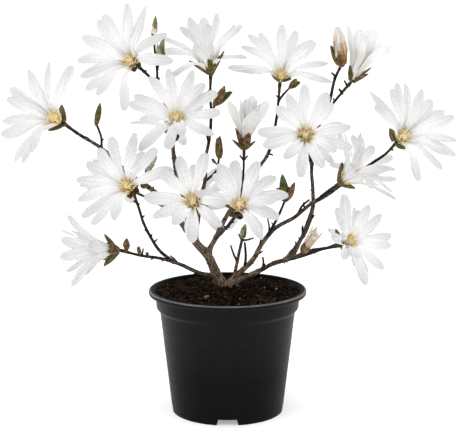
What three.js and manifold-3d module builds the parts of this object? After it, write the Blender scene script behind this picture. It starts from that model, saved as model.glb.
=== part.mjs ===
// A star magnolia in flower, growing in a round black nursery pot.
// Lengths are in millimetres and angles in degrees. +Z is up, -Y is the front, and the pot
// stands on z = 0 with its axis on the Z axis.

import * as THREE from 'three';
import { mergeVertices } from 'three/addons/utils/BufferGeometryUtils.js';
import Module from 'manifold-3d';

const wasm = await Module();
wasm.setup();

// Driving dimensions

const clearance = 0.3;

const pot = {
  sides: 36,
  rimRadius: 95,
  height: 150,
  lipHeight: 6,
  lipWidth: 6.4,
  lipRound: 1.3,
  bandRadius: 87,
  bandDraft: 1.5,
  bandHeight: 16,
  shoulderRadius: 81.5,
  shoulderHeight: 4,
  footRadius: 67.3,
  footHeight: 8.5,
  wall: 2.2,
  notchWidth: 25,
  notchHeight: 7,
  notches: 4,
  drainRadius: 5.5,
  drainRing: 44,
  drains: 5,
  drainSides: 8,
};

const soil = {
  edgeHeight: 146,
  middleHeight: 146.6,
  moundHeight: 147,
  moundRadius: 32,
};

// The root collar: where it stands, its size, and its [rise, radius] sections as shares of it.
const collar = {
  x: 2,
  y: 12,
  radius: 13.5,
  depthShare: 0.86,
  height: 9,
  lobes: 5,
  lobeDepth: 0.16,
  sides: 14,
  sections: [[0, 1.12], [0.25, 0.98], [0.6, 0.78], [1, 0.42]],
};

const wood = {
  sides: 5,
  step: 24,
  twigLength: 34,
  knotSpacing: 24,
  knotOffset: 1.3,
  taper: 0.8,
};

// Tepal sizes are shares of the bloom's width across. Each range is that of a seeded number.
const blossom = {
  whorls: 3,
  rootHeight: [6.4, 9.2, 12],
  rootRadius: [3.9, 3, 2.1],
  whorlLength: [1, 0.97, 0.92],
  tepalLength: 0.565,
  tepalWidth: 0.148,
  keel: 1.2,
  tipKeel: 0.8,
  bendEnd: 0.45,
  cup: 0.34,
  turnRange: [-6, 6],
  spreadRange: [-6, 6],
  curlRange: [-8, 24],
  fullCurlOpen: 60,
  swayRange: [-9, 9],
  twistRange: [-26, 26],
  lengthRange: [0.95, 1.04],
  widthRange: [0.9, 1.08],
  heartSides: 6,
  lineSteps: 50,
};

// What a bloom has unless it says otherwise: how much more upright each inner whorl is, the
// degrees left bare about its roll, and by what share the tepals on one side are held in.
const plainBloom = { nest: 0.14, roll: 0, gap: 0, side: 0, shut: 0 };

const budScale = {
  count: 2,
  length: 21,
  width: 7.4,
  rootHeight: 3.4,
  rootRadius: 3,
  cup: 0.8,
  spread: 28,
  spreadPerOpen: 0.35,
  turnStep: 200,
  turnRange: [-30, 30],
  spreadRange: [-6, 6],
  lengthRange: [0.9, 1.15],
};

// Outlines: distance along the blade, and width there as a share of the full width.
const tepalStations = [[0, 0.18], [0.22, 0.42], [0.6, 1], [0.86, 0.84], [1, 0]];
const scaleStations = [[0, 0.5], [0.4, 1], [1, 0]];

// The heart of a bloom, as [rise, radius] from its foot, and a closed bud, as shares of its
// length and half width.
const heartSections = [[0, 1.6], [6, 4.8], [19, 3.8], [23, 1]];
const budSections = [[0, 0.32], [0.16, 0.78], [0.42, 1], [0.74, 0.62], [1, 0.08]];

// Each limb starts on another one, `at` a share of its length, and ends at `tip`. Where it
// carries a bloom or a bud, its last stretch belongs to that mass. `thick` holds its diameter
// at foot and tip. A bloom's `turn` is measured from the front towards the right, its `lift`
// from the level.
const limbs = [
  {
    name: 'far_left', on: 'trunk', at: 1, via: [[-80, -14, 264], [-116, -20, 291], [-131, -20, 309]],
    tip: [-193, -21, 353], thick: [7.4, 3.4],
    bloom: {
      turn: -38, lift: 22, across: 120, open: 82, count: 12,
      roll: 0, gap: 150, seed: 11,
    },
  },
  {
    name: 'high_left', on: 'trunk', at: 1,
    via: [[-47, 6, 243], [-62, 9, 293], [-65, 9, 330], [-76, 17, 380]],
    tip: [-108, 17, 417], thick: [6.8, 3.2],
    bloom: {
      turn: -30, lift: 22, across: 120, open: 82, count: 13,
      roll: -40, gap: 80, seed: 23,
    },
  },
  {
    name: 'top', on: 'trunk', at: 0.8, via: [[-32, 18, 252], [-27, 23, 290], [-21, 26, 350]],
    tip: [-20, 26, 406], thick: [6, 2.8],
    bloom: { turn: -36, lift: 70, across: 120, open: 76, nest: 0.34, count: 12, seed: 31 },
  },
  {
    name: 'middle', on: 'trunk', at: 0.55,
    via: [[-15, 11, 209], [-2, 17, 232], [24, 32, 273], [51, 39, 314]],
    tip: [63, 41, 395], thick: [6.6, 2.8],
    bloom: {
      turn: 6, lift: 46, across: 114, open: 84, count: 11,
      roll: -90, gap: 140, seed: 43,
    },
  },
  {
    name: 'centre', on: 'middle', at: 0.1, via: [[-9, -14, 219], [2, -50, 237]],
    tip: [12, -85, 259], thick: [5, 3.2],
    bloom: {
      turn: 10, lift: 40, across: 102, open: 80, count: 10,
      roll: -131, gap: 118, seed: 53,
    },
  },
  {
    name: 'low_left', on: 'trunk', at: 0.2,
    via: [[-22, 2, 165], [-43, -6, 174], [-69, -12, 187], [-98, -16, 194]],
    tip: [-129, -19, 201], thick: [6, 2.8],
    bloom: {
      turn: -66, lift: 2, across: 118, open: 50, nest: 0.25, count: 10,
      roll: 20, seed: 61,
    },
  },
  {
    name: 'left', on: 'low_left', at: 0.47, via: [[-79, -20, 200], [-92, -42, 226]],
    tip: [-107, -78, 282], thick: [4.2, 2.8],
    bloom: {
      turn: -26, lift: 24, across: 110, open: 84, count: 12,
      roll: -33, gap: 105, seed: 71,
    },
  },
  {
    name: 'right', on: 'trunk', at: 0,
    via: [[16, 12, 168], [33, 16, 185], [47, 20, 213], [58, 23, 219], [92, 28, 241]],
    tip: [133, 4, 277], thick: [7.6, 3.2],
    bloom: { turn: 72, lift: 38, across: 114, open: 62, count: 12, seed: 83 },
  },
  {
    name: 'far_right', on: 'right', at: 0.76, via: [[128, 42, 262], [160, 44, 285], [184, 24, 304]],
    tip: [201.2, 6, 327], thick: [4.6, 3],
    bloom: {
      turn: 30, lift: 32, across: 121, open: 80, count: 14,
      roll: 208, gap: 115, seed: 97,
    },
  },
  {
    name: 'low_right', on: 'trunk', at: 0, via: [[27, 3, 165], [54, -14, 183], [92, -40, 202]],
    tip: [133, -72, 217], thick: [7, 3],
    bloom: {
      turn: 24, lift: 24, across: 97, open: 86, count: 12,
      roll: 94, side: 190, shut: 0.45, seed: 101,
    },
  },
  {
    name: 'upper_right', on: 'low_right', at: 0.52,
    via: [[89, -20, 219], [101, -14, 250], [100, 2, 290], [110, 15, 348]],
    tip: [147, 23, 396], thick: [5.4, 2.8],
    bloom: { turn: 78, lift: 70, across: 106, open: 36, nest: 0.4, count: 9, seed: 113 },
  },
  {
    name: 'upper_left', on: 'high_left', at: 0.5, via: [[-60, -6, 330]],
    tip: [-57, -33, 351], thick: [3.6, 3], short: true,
    bloom: { turn: -8, lift: 38, across: 108, open: 78, count: 13, roll: -10, seed: 127 },
  },
  {
    name: 'front_left', on: 'trunk', at: 0.96, via: [[-46, -36, 243]],
    tip: [-37, -95, 268], thick: [4.6, 3.2],
    bloom: { turn: -6, lift: 26, across: 98, open: 84, count: 11, roll: 80, seed: 131 },
  },
  {
    name: 'upper_middle', on: 'upper_right', at: 0.52, via: [[98, -8, 320]],
    tip: [89, -43, 338], thick: [3.8, 3], short: true,
    bloom: { turn: 0, lift: 18, across: 100, open: 84, count: 13, roll: 94, seed: 149 },
  },
  {
    name: 'half_open', on: 'middle', at: 0.36, via: [[20, 42, 280]],
    tip: [20, 52, 312], thick: [3.4, 2.6], short: true,
    bloom: { turn: 40, lift: 78, across: 102, open: 24, nest: 0.3, count: 9, seed: 151 },
  },
  {
    name: 'back_left', on: 'trunk', at: 0.9, via: [[-68, 34, 236], [-100, 62, 250]],
    tip: [-128, 82, 258], thick: [5.6, 2.8],
    bloom: { turn: -150, lift: 30, across: 92, open: 86, count: 9, seed: 163 },
  },
  {
    name: 'back_low', on: 'back_left', at: 0.3, via: [[-56, 62, 236]],
    tip: [-42, 92, 238], thick: [3.8, 2.8],
    bloom: { turn: 174, lift: 16, across: 92, open: 86, count: 9, seed: 173 },
  },
  {
    name: 'back_high', on: 'high_left', at: 0.28, via: [[-61, 30, 283], [-66, 60, 306]],
    tip: [-69, 88, 325], thick: [4, 2.8],
    bloom: { turn: -168, lift: 48, across: 92, open: 84, count: 9, seed: 181 },
  },
  {
    name: 'back_low_right', on: 'trunk', at: 0,
    via: [[27, 38, 157], [56, 58, 167], [80, 76, 171], [104, 80, 177]],
    tip: [140, 84, 188], thick: [6.4, 2.8],
    bloom: { turn: 128, lift: 14, across: 88, open: 80, count: 9, seed: 223 },
  },
  {
    name: 'back_right', on: 'back_low_right', at: 0.635,
    via: [[94, 88, 197], [107, 92, 232], [105, 92, 276]],
    tip: [97, 92, 312], thick: [4.6, 2.8],
    bloom: { turn: 166, lift: 36, across: 92, open: 86, count: 9, seed: 191 },
  },
  {
    name: 'back_centre', on: 'trunk', at: 0.35, via: [[-20, 32, 190], [-8, 62, 206]],
    tip: [18, 100, 226], thick: [4.4, 2.8],
    bloom: { turn: -176, lift: 24, across: 90, open: 86, count: 9, seed: 199 },
  },
  {
    name: 'back_far_right', on: 'back_right', at: 0.5, via: [[120, 93, 249], [139, 94, 262]],
    tip: [160, 94, 272], thick: [3.8, 2.8],
    bloom: { turn: 140, lift: 34, across: 90, open: 84, count: 9, seed: 211 },
  },
  {
    name: 'bud_near_top_right', on: 'upper_right', at: 0.8, via: [[127, 16, 398]],
    tip: [134, 10, 417], thick: [3.2, 3], short: true,
    bud: { turn: -30, lift: 78, length: 44, across: 16 },
  },
  {
    name: 'bud_low_right', on: 'low_right', at: 0.66, via: [[86, -40, 200]],
    tip: [88, -44, 204], thick: [3, 2.6], short: true,
    bud: { turn: 62, lift: 44, length: 34, across: 11 },
  },
  {
    name: 'bud_right', on: 'right', at: 0.4, via: [[58, 16, 230], [65, 12, 245]],
    tip: [69, 10, 256], thick: [3.4, 2.4], short: true,
    bud: { turn: -30, lift: 76, length: 32, across: 13 },
  },
  {
    name: 'bud_top', on: 'top', at: 0.68, via: [[-20, 20, 362]],
    tip: [-15, 17, 370], thick: [2.6, 2.4], short: true,
    bud: { turn: 60, lift: 50, length: 29, across: 11 },
  },
  {
    name: 'bud_inner', on: 'top', at: 0.36, via: [[-15, 28, 287]],
    tip: [-10, 30, 306], thick: [2.6, 2.2], short: true,
    bud: { turn: -20, lift: 84, length: 26, across: 10 },
  },
  {
    name: 'bud_high_left', on: 'high_left', at: 0.83, via: [[-84, 10, 412]],
    tip: [-86, 6, 450], thick: [2.6, 2.2], short: true,
    bud: { turn: 30, lift: 78, length: 22, across: 7 },
  },
  {
    name: 'bud_far_left', on: 'far_left', at: 0.72, via: [[-149, -16, 338]],
    tip: [-153, -14, 350], thick: [2.4, 2.2], short: true,
    bud: { turn: 40, lift: 70, length: 28, across: 9 },
  },
  {
    name: 'bud_low', on: 'right', at: 0.09, via: [[14, 8, 186], [14, 6, 200]],
    tip: [18, 4, 212], thick: [3.2, 2.2], short: true,
    bud: { turn: 30, lift: 72, length: 18, across: 8 },
  },
];

const trunkLimb = {
  name: 'trunk',
  foot: [-5, 12, soil.moundHeight + clearance],
  via: [[-17, 9, 175], [-25, 6, 191], [-38, 3, 207]],
  tip: [-48, 0, 222],
  thick: [13, 8.5],
  sides: 8,
};

// Seeded numbers

function makeDice(seed) {
  const range = 2147483647;
  let state = seed * 7919 + 12345;
  return (low, high) => {
    state = (state * 16807) % range;
    return low + ((high - low) * state) / range;
  };
}

// Solids

function solidFromMesh(points, corners) {
  const vertProperties = new Float32Array(points.flatMap((p) => [p.x, p.y, p.z]));
  const triVerts = new Uint32Array(corners);
  return new wasm.Manifold(new wasm.Mesh({ numProp: 3, vertProperties, triVerts }));
}

function solidFromGeometry(geometry) {
  const bare = geometry.index ? geometry.toNonIndexed() : geometry.clone();
  bare.deleteAttribute('normal');
  bare.deleteAttribute('uv');
  const merged = mergeVertices(bare, 1e-3);
  const position = merged.attributes.position;
  const points = [];
  for (let i = 0; i < position.count; i += 1) {
    points.push(new THREE.Vector3().fromBufferAttribute(position, i));
  }
  const corners = [];
  for (let i = 0; i < merged.index.count; i += 3) {
    const [a, b, c] = [0, 1, 2].map((k) => merged.index.getX(i + k));
    if (a !== b && b !== c && c !== a) corners.push(a, b, c);
  }
  return solidFromMesh(points, corners);
}

// Does a patch bulge outwards when it is split from a to d? Its other corners are b and c.
function bulges(a, b, c, d) {
  const normal = new THREE.Vector3().crossVectors(b.clone().sub(a), d.clone().sub(a));
  return normal.dot(c.clone().sub(a)) <= 0;
}

// Skins rings of equal length, given anticlockwise about the way they run, and caps both ends.
// A last ring of one point closes the solid in a tip. A twisted patch is split along the
// diagonal that stands out, which keeps the two sides of a thin blade from crossing.
function skinRings(rings) {
  const points = rings.flat();
  const count = rings[0].length;
  const corners = [];
  for (let r = 0; r + 1 < rings.length; r += 1) {
    const here = r * count;
    const next = here + count;
    for (let k = 0; k < count; k += 1) {
      const after = (k + 1) % count;
      const [a, b, c, d] = [here + k, here + after, next + k, next + after];
      if (rings[r + 1].length === 1) {
        corners.push(a, b, next);
      } else if (bulges(points[a], points[b], points[c], points[d])) {
        corners.push(a, b, d, a, d, c);
      } else {
        corners.push(a, b, c, b, d, c);
      }
    }
  }
  for (let k = 1; k + 1 < count; k += 1) corners.push(0, k + 1, k);
  const last = points.length - count;
  if (rings.at(-1).length > 1) {
    for (let k = 1; k + 1 < count; k += 1) corners.push(last, last + k, last + k + 1);
  }
  return solidFromMesh(points, corners);
}

function boxesMeet(a, b) {
  return [0, 1, 2].every((k) => a.min[k] <= b.max[k] && b.min[k] <= a.max[k]);
}

function meets(solid, others) {
  const box = solid.boundingBox();
  return others.some((o) => boxesMeet(box, o.box) && solid.intersect(o.solid).volume() > 0);
}

// Keeps the main body of a cut solid and drops loose scraps and sealed pockets.
function mainBody(solid) {
  return solid.decompose().reduce((a, b) => (b.volume() > a.volume() ? b : a));
}

// Wood

function vector(list) {
  return new THREE.Vector3(...list);
}

// A smooth route through the given points, then knocked a little out of line at each knot.
function limbCurve(points, seed) {
  const smooth = new THREE.CatmullRomCurve3(points, false, 'catmullrom', 0.5);
  const length = smooth.getLength();
  const spans = Math.max(2, Math.round(length / wood.knotSpacing));
  const dice = makeDice(seed);
  const knots = [];
  for (let k = 0; k <= spans; k += 1) {
    const knot = smooth.getPointAt(k / spans);
    if (k > 0 && k < spans) {
      knot.x += dice(-wood.knotOffset, wood.knotOffset);
      knot.y += dice(-wood.knotOffset, wood.knotOffset);
      knot.z += dice(-wood.knotOffset, wood.knotOffset);
    }
    knots.push(knot);
  }
  return new THREE.CatmullRomCurve3(knots, false, 'catmullrom', 0.5);
}

function limbRadius(limb, share) {
  const [foot, tip] = limb.thick;
  return (foot + (tip - foot) * share ** wood.taper) / 2;
}

function across(direction) {
  const helper = Math.abs(direction.z) > 0.8 ? new THREE.Vector3(1, 0, 0) : new THREE.Vector3(0, 0, 1);
  return new THREE.Vector3().crossVectors(helper, direction).normalize();
}

// The limb's stretch between two shares of its length, as a tube of many-sided rings.
function limbTube(limb, from, to, grow = 0) {
  const length = limb.curve.getLength();
  const steps = Math.max(2, Math.round(((to - from) * length) / wood.step));
  const sides = limb.sides ?? wood.sides;
  const rings = [];
  let side = null;
  for (let k = 0; k <= steps; k += 1) {
    const share = from + ((to - from) * k) / steps;
    const along = limb.curve.getTangentAt(share);
    const centre = limb.curve.getPointAt(share);
    if (k === 0) centre.addScaledVector(along, -grow);
    if (k === steps) centre.addScaledVector(along, grow);
    side = side ? side.addScaledVector(along, -side.dot(along)).normalize() : across(along);
    const other = new THREE.Vector3().crossVectors(along, side);
    const radius = limbRadius(limb, share) + grow;
    const ring = [];
    for (let s = 0; s < sides; s += 1) {
      const angle = (2 * Math.PI * s) / sides;
      ring.push(centre.clone()
        .addScaledVector(side, radius * Math.cos(angle))
        .addScaledVector(other, radius * Math.sin(angle)));
    }
    rings.push(ring);
    side = side.clone();
  }
  return skinRings(rings);
}

// The root collar: a lobed flare from the flat cut on the soil up to the stems.
function collarSolid(grow = 0) {
  const foot = soil.moundHeight + clearance;
  const rings = collar.sections.map(([up, share], k) => {
    const ring = [];
    for (let s = 0; s < collar.sides; s += 1) {
      const angle = (2 * Math.PI * s) / collar.sides;
      const lobe = 1 + collar.lobeDepth * Math.cos(collar.lobes * angle) * (1 - up);
      const radius = collar.radius * share * lobe + grow;
      ring.push(new THREE.Vector3(
        collar.x + radius * Math.cos(angle),
        collar.y + radius * Math.sin(angle) * collar.depthShare,
        foot + up * collar.height + (k === 0 ? 0 : grow),
      ));
    }
    return ring;
  });
  return skinRings(rings);
}

// The leader's tube and the collar, cut off flat just over the soil.
function trunkSolid(limb, grow = 0) {
  const whole = limbTube(limb, 0, 1, grow).add(collarSolid(grow));
  const cutSize = 8 * collar.radius;
  const below = new THREE.BoxGeometry(cutSize, cutSize, cutSize);
  below.translate(collar.x, collar.y, soil.moundHeight + clearance - cutSize / 2);
  return whole.subtract(solidFromGeometry(below));
}

// Blossom

// The frame of a flower or bud: the way it faces, and the right and up of someone facing it.
function facing(turn, lift) {
  const turned = THREE.MathUtils.degToRad(turn);
  const lifted = THREE.MathUtils.degToRad(lift);
  const axis = new THREE.Vector3(
    Math.cos(lifted) * Math.sin(turned),
    -Math.cos(lifted) * Math.cos(turned),
    Math.sin(lifted),
  );
  const right = new THREE.Vector3(Math.cos(turned), Math.sin(turned), 0);
  const up = new THREE.Vector3().crossVectors(axis, right);
  return { axis, right, up };
}

function mix(first, second, angle) {
  return first.clone().multiplyScalar(Math.cos(angle)).addScaledVector(second, Math.sin(angle));
}

// A round solid about a flower's axis, from [rise, radius] sections.
function roundSolid(foot, frame, sections, sides) {
  const rings = sections.map(([rise, radius]) => {
    const ring = [];
    for (let s = 0; s < sides; s += 1) {
      const out = mix(frame.right, frame.up, (2 * Math.PI * s) / sides);
      ring.push(foot.clone().addScaledVector(frame.axis, rise).addScaledVector(out, radius));
    }
    return ring;
  });
  return skinRings(rings);
}

// A tepal or bud scale. Its middle line leaves the cup steeply, bends out to its spread and
// curls towards its tip. Its section is flat inside, with a low keel outside.
function bladeSolid(joint, frame, blade, stations, grow = 0) {
  const steps = blossom.lineSteps;
  const place = joint.clone().addScaledVector(frame.axis, blade.rootHeight);
  const line = [];
  for (let k = 0; k <= steps; k += 1) {
    const share = k / steps;
    const bent = THREE.MathUtils.smoothstep(share, 0, blossom.bendEnd);
    const curled = Math.max(0, (share - blossom.bendEnd) / (1 - blossom.bendEnd));
    const spread = blade.spread * (blade.cup + (1 - blade.cup) * bent) + blade.curl * curled ** 2;
    const angle = blade.angle + blade.sway * share ** 2;
    const out = mix(frame.right, frame.up, THREE.MathUtils.degToRad(angle));
    const along = mix(frame.axis, out, THREE.MathUtils.degToRad(spread));
    place.addScaledVector(k === 0 ? out : along, k === 0 ? blade.rootRadius : blade.length / steps);
    const flatSide = new THREE.Vector3().crossVectors(frame.axis, out);
    const inner = new THREE.Vector3().crossVectors(along, flatSide);
    const twist = THREE.MathUtils.degToRad(blade.twist * share ** 2);
    line.push({
      place: place.clone(),
      along,
      wide: mix(flatSide, inner, twist),
      inner: mix(inner, flatSide, -twist),
    });
  }
  const rings = stations.map(([share, width]) => {
    const at = line[Math.round(share * steps)];
    if (width === 0) return [at.place.clone().addScaledVector(at.along, grow)];
    const reach = (width * blade.width) / 2 + grow;
    const keel = blossom.keel + (blossom.tipKeel - blossom.keel) * share + grow;
    return [
      at.place.clone().addScaledVector(at.wide, -reach).addScaledVector(at.inner, grow),
      at.place.clone().addScaledVector(at.inner, -keel),
      at.place.clone().addScaledVector(at.wide, reach).addScaledVector(at.inner, grow),
    ];
  });
  return skinRings(rings);
}

// The tepals of a bloom: whorls that take turns round it, the inner ones more upright.
function bloomBlades(bloom) {
  const dice = makeDice(bloom.seed);
  const parts = bloom.gap ? bloom.count - 1 : bloom.count;
  const blades = [];
  for (let k = 0; k < bloom.count; k += 1) {
    const whorl = k % blossom.whorls;
    const turn = bloom.gap / 2 + ((360 - bloom.gap) * k) / parts;
    const angle = bloom.roll + turn + dice(...blossom.turnRange);
    const toSide = Math.max(0, Math.cos(THREE.MathUtils.degToRad(angle - bloom.side)));
    const open = bloom.open * (1 - bloom.nest * whorl) * (1 - bloom.shut * toSide);
    blades.push({
      angle,
      spread: open + dice(...blossom.spreadRange),
      curl: dice(...blossom.curlRange) * Math.min(1, bloom.open / blossom.fullCurlOpen),
      sway: dice(...blossom.swayRange),
      twist: dice(...blossom.twistRange),
      length: bloom.across * blossom.tepalLength * blossom.whorlLength[whorl] * dice(...blossom.lengthRange),
      width: bloom.across * blossom.tepalWidth * dice(...blossom.widthRange),
      rootHeight: blossom.rootHeight[whorl],
      rootRadius: blossom.rootRadius[whorl],
      cup: blossom.cup,
    });
  }
  return blades;
}

// The scales of the burst bud that stay on below the tepals.
function bloomScales(bloom) {
  const dice = makeDice(bloom.seed + 1);
  const scales = [];
  for (let k = 0; k < budScale.count; k += 1) {
    scales.push({
      angle: bloom.roll + budScale.turnStep * k + dice(...budScale.turnRange),
      spread: budScale.spread + bloom.open * budScale.spreadPerOpen + dice(...budScale.spreadRange),
      curl: 0,
      sway: 0,
      twist: 0,
      length: budScale.length * dice(...budScale.lengthRange),
      width: budScale.width,
      rootHeight: budScale.rootHeight,
      rootRadius: budScale.rootRadius,
      cup: budScale.cup,
    });
  }
  return scales;
}

// Pot and soil

function turned(profile) {
  const outline = profile.map(([radius, height]) => new THREE.Vector2(radius, height));
  const geometry = new THREE.LatheGeometry(outline, pot.sides);
  geometry.rotateX(Math.PI / 2);
  return solidFromGeometry(geometry);
}

const lipFoot = pot.height - pot.lipHeight;
const bandFoot = lipFoot - pot.bandHeight;
const shoulder = bandFoot - pot.shoulderHeight;
const bandFootRadius = pot.bandRadius - pot.bandDraft;
const floorTop = pot.footHeight + pot.wall;

// The inside of the wall from the floor up to the lip's inner edge, drawn in by the given gap.
function innerWall(gap) {
  const inset = pot.wall + gap;
  const slope = (pot.shoulderRadius - pot.footRadius) / shoulder;
  return [
    [pot.footRadius + slope * floorTop - inset, floorTop + gap],
    [pot.shoulderRadius - inset, shoulder],
    [bandFootRadius - inset, bandFoot],
    [pot.bandRadius - inset, lipFoot],
    [pot.rimRadius - pot.lipWidth - gap, pot.height - pot.lipRound],
  ];
}

function potSolid() {
  const lipInner = pot.rimRadius - pot.lipWidth;
  let body = turned([
    [0, pot.footHeight],
    [pot.footRadius - pot.wall, pot.footHeight],
    [pot.footRadius - pot.wall, 0],
    [pot.footRadius, 0],
    [pot.shoulderRadius, shoulder],
    [bandFootRadius, bandFoot],
    [pot.bandRadius, lipFoot],
    [pot.rimRadius - pot.lipRound, lipFoot],
    [pot.rimRadius, lipFoot + pot.lipRound],
    [pot.rimRadius, pot.height - pot.lipRound],
    [pot.rimRadius - pot.lipRound, pot.height],
    [lipInner + pot.lipRound, pot.height],
    ...innerWall(0).reverse(),
    [0, floorTop],
  ]);
  for (let k = 0; k < pot.notches; k += 1) {
    const notch = new THREE.BoxGeometry(pot.notchWidth, pot.footRadius, 2 * pot.notchHeight);
    notch.translate(0, -pot.footRadius, 0);
    notch.rotateZ((2 * Math.PI * k) / pot.notches);
    body = body.subtract(solidFromGeometry(notch));
  }
  for (let k = 0; k < pot.drains; k += 1) {
    const drain = new THREE.CylinderGeometry(
      pot.drainRadius,
      pot.drainRadius,
      4 * pot.footHeight,
      pot.drainSides,
    );
    drain.rotateX(Math.PI / 2);
    drain.translate(pot.drainRing, 0, 0);
    drain.rotateZ((2 * Math.PI * (k + 0.5)) / pot.drains);
    body = body.subtract(solidFromGeometry(drain));
  }
  return body;
}

// The soil fills the pot to just under its rim and rises to a flat mound under the collar.
function soilSolid() {
  const wall = innerWall(clearance);
  const [below, above] = wall.slice(-2);
  const share = (soil.edgeHeight - below[1]) / (above[1] - below[1]);
  const edge = [below[0] + (above[0] - below[0]) * share, soil.edgeHeight];
  return turned([
    [0, floorTop + clearance],
    ...wall.slice(0, -1),
    edge,
    [(edge[0] + soil.moundRadius) / 2, soil.middleHeight],
    [soil.moundRadius, soil.moundHeight],
    [0, soil.moundHeight],
  ]);
}

// The whole plant, piece by piece

const pieces = [];

function addPiece(name, solid, look) {
  pieces.push({ name, solid, look, box: solid.boundingBox() });
}

// Cuts a solid clear of everything that stands near it, given a little fat, and keeps its body.
function cutClear(solid, fat) {
  const box = solid.boundingBox();
  let left = solid;
  for (const other of fat) {
    if (boxesMeet(box, other.box)) left = left.subtract(other.solid);
  }
  return mainBody(left);
}

addPiece('pot', potSolid(), 'pot');
addPiece('soil', soilSolid(), 'soil');

const grown = new Map();
const fatWood = [];

function keepFat(solid) {
  fatWood.push({ solid, box: solid.boundingBox() });
}

trunkLimb.curve = limbCurve([trunkLimb.foot, ...trunkLimb.via, trunkLimb.tip].map(vector), 1);
grown.set('trunk', trunkLimb);
addPiece('trunk', trunkSolid(trunkLimb), 'bark');
keepFat(trunkSolid(trunkLimb, clearance));

// Boughs come first, each cut clear of the wood that was there before it.
limbs.forEach((limb, index) => {
  const foot = grown.get(limb.on).curve.getPointAt(limb.at);
  limb.curve = limbCurve([foot, ...limb.via.map(vector), vector(limb.tip)], index + 2);
  limb.bare = limb.short ? 0 : 1 - wood.twigLength / limb.curve.getLength();
  grown.set(limb.name, limb);
  if (limb.short) return;
  addPiece(`bough_${limb.name}`, cutClear(limbTube(limb, 0, limb.bare), fatWood), 'bark');
  keepFat(limbTube(limb, 0, limb.bare, clearance));
});

// Then the stem of each mass, with the heart of its bloom or its bud.
const masses = limbs.map((limb) => {
  const start = limb.bare ? limb.bare + clearance / limb.curve.getLength() : 0;
  const joint = limb.curve.getPointAt(1);
  const bloom = limb.bloom && { ...plainBloom, ...limb.bloom };
  const { turn, lift } = bloom ?? limb.bud;
  const frame = facing(turn, lift);
  const stem = cutClear(limbTube(limb, start, 1), fatWood);
  keepFat(limbTube(limb, start, 1, clearance));
  const sections = bloom
    ? heartSections
    : budSections.map(([rise, radius]) => [rise * limb.bud.length - 1, (radius * limb.bud.across) / 2]);
  const core = stem.add(roundSolid(joint, frame, sections, blossom.heartSides));
  return { name: limb.name, bloom, joint, frame, core, box: core.boundingBox() };
});

// Last the scales and tepals. One that would touch other wood or another bloom is tried a
// little more closed or open, and is skipped where that still touches.
const tries = [0, -12, 12, -24];

masses.forEach((mass) => {
  const { bloom, name, joint, frame } = mass;
  let solid = mass.core;
  if (bloom) {
    const waiting = masses.filter((other) => other !== mass && !other.done);
    const others = [...pieces, ...waiting.map((other) => ({ solid: other.core, box: other.box }))];
    const blades = [
      ...bloomScales(bloom).map((blade) => [blade, scaleStations]),
      ...bloomBlades(bloom).map((blade) => [blade, tepalStations]),
    ];
    for (const [blade, stations] of blades) {
      const tried = tries.map((more) => ({ ...blade, spread: blade.spread + more }));
      const fit = tried.find((one) => !meets(bladeSolid(joint, frame, one, stations, clearance), others));
      if (fit) solid = solid.add(bladeSolid(joint, frame, fit, stations));
    }
  }
  mass.done = true;
  addPiece(bloom ? `bloom_${name}` : name, mainBody(solid), bloom ? 'tepal' : 'bud');
});

const looks = {
  pot: { color: '#1d1f22', roughness: 0.45, metalness: 0 },
  soil: { color: '#2b1d14', roughness: 0.95, metalness: 0 },
  bark: { color: '#6a5647', roughness: 0.8, metalness: 0 },
  tepal: { color: '#f3f1f2', roughness: 0.55, metalness: 0 },
  bud: { color: '#6b6433', roughness: 0.7, metalness: 0 },
};

const magnolia = new THREE.Group();
for (const piece of pieces) {
  const mesh = piece.solid.getMesh();
  const geometry = new THREE.BufferGeometry();
  geometry.setAttribute('position', new THREE.BufferAttribute(mesh.vertProperties, 3));
  geometry.setIndex(new THREE.BufferAttribute(mesh.triVerts, 1));
  geometry.computeVertexNormals();
  const shape = new THREE.Mesh(geometry, new THREE.MeshStandardMaterial(looks[piece.look]));
  shape.name = piece.name;
  magnolia.add(shape);
}

export default magnolia;
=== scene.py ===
# A star magnolia in flower, in a round black nursery pot.
from math import asin, ceil, cos, exp, floor, hypot, pi, radians, sin, sqrt

import bmesh
import bpy
import numpy as np
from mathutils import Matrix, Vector, noise


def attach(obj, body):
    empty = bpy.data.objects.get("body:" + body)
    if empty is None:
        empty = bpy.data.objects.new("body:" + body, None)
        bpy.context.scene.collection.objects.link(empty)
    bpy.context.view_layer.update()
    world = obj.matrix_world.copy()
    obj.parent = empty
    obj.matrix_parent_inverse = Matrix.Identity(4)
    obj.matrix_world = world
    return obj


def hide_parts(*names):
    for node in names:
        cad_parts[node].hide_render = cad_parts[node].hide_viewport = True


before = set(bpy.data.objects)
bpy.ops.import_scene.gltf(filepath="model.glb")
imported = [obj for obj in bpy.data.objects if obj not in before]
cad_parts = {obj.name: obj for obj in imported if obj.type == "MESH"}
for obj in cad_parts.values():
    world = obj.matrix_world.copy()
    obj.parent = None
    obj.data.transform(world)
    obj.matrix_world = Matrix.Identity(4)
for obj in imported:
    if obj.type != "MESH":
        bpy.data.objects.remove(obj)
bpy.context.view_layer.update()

mm = 0.001  # everything below is worked out in millimetres
goldenTurn = 137.508


def makeDice(seed):
    state = [seed * 7919 + 12345]

    def roll(low=0.0, high=1.0):
        state[0] = (state[0] * 16807) % 2147483647
        return low + (high - low) * state[0] / 2147483647
    return roll


def unit(v):
    return v / max(1e-9, float(np.linalg.norm(v)))


def smooth(x, low=0.0, high=1.0):
    t = np.clip((x - low) / (high - low), 0, 1)
    return t * t * (3 - 2 * t)


def roundTurns(count):
    return np.linspace(0, 2 * pi, count, endpoint=False)


def circle(count):
    turns = roundTurns(count)
    return np.stack([np.cos(turns), np.sin(turns)], axis=1)


def lump(x, y, z):
    return noise.noise(Vector((x, y, z)))


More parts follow.
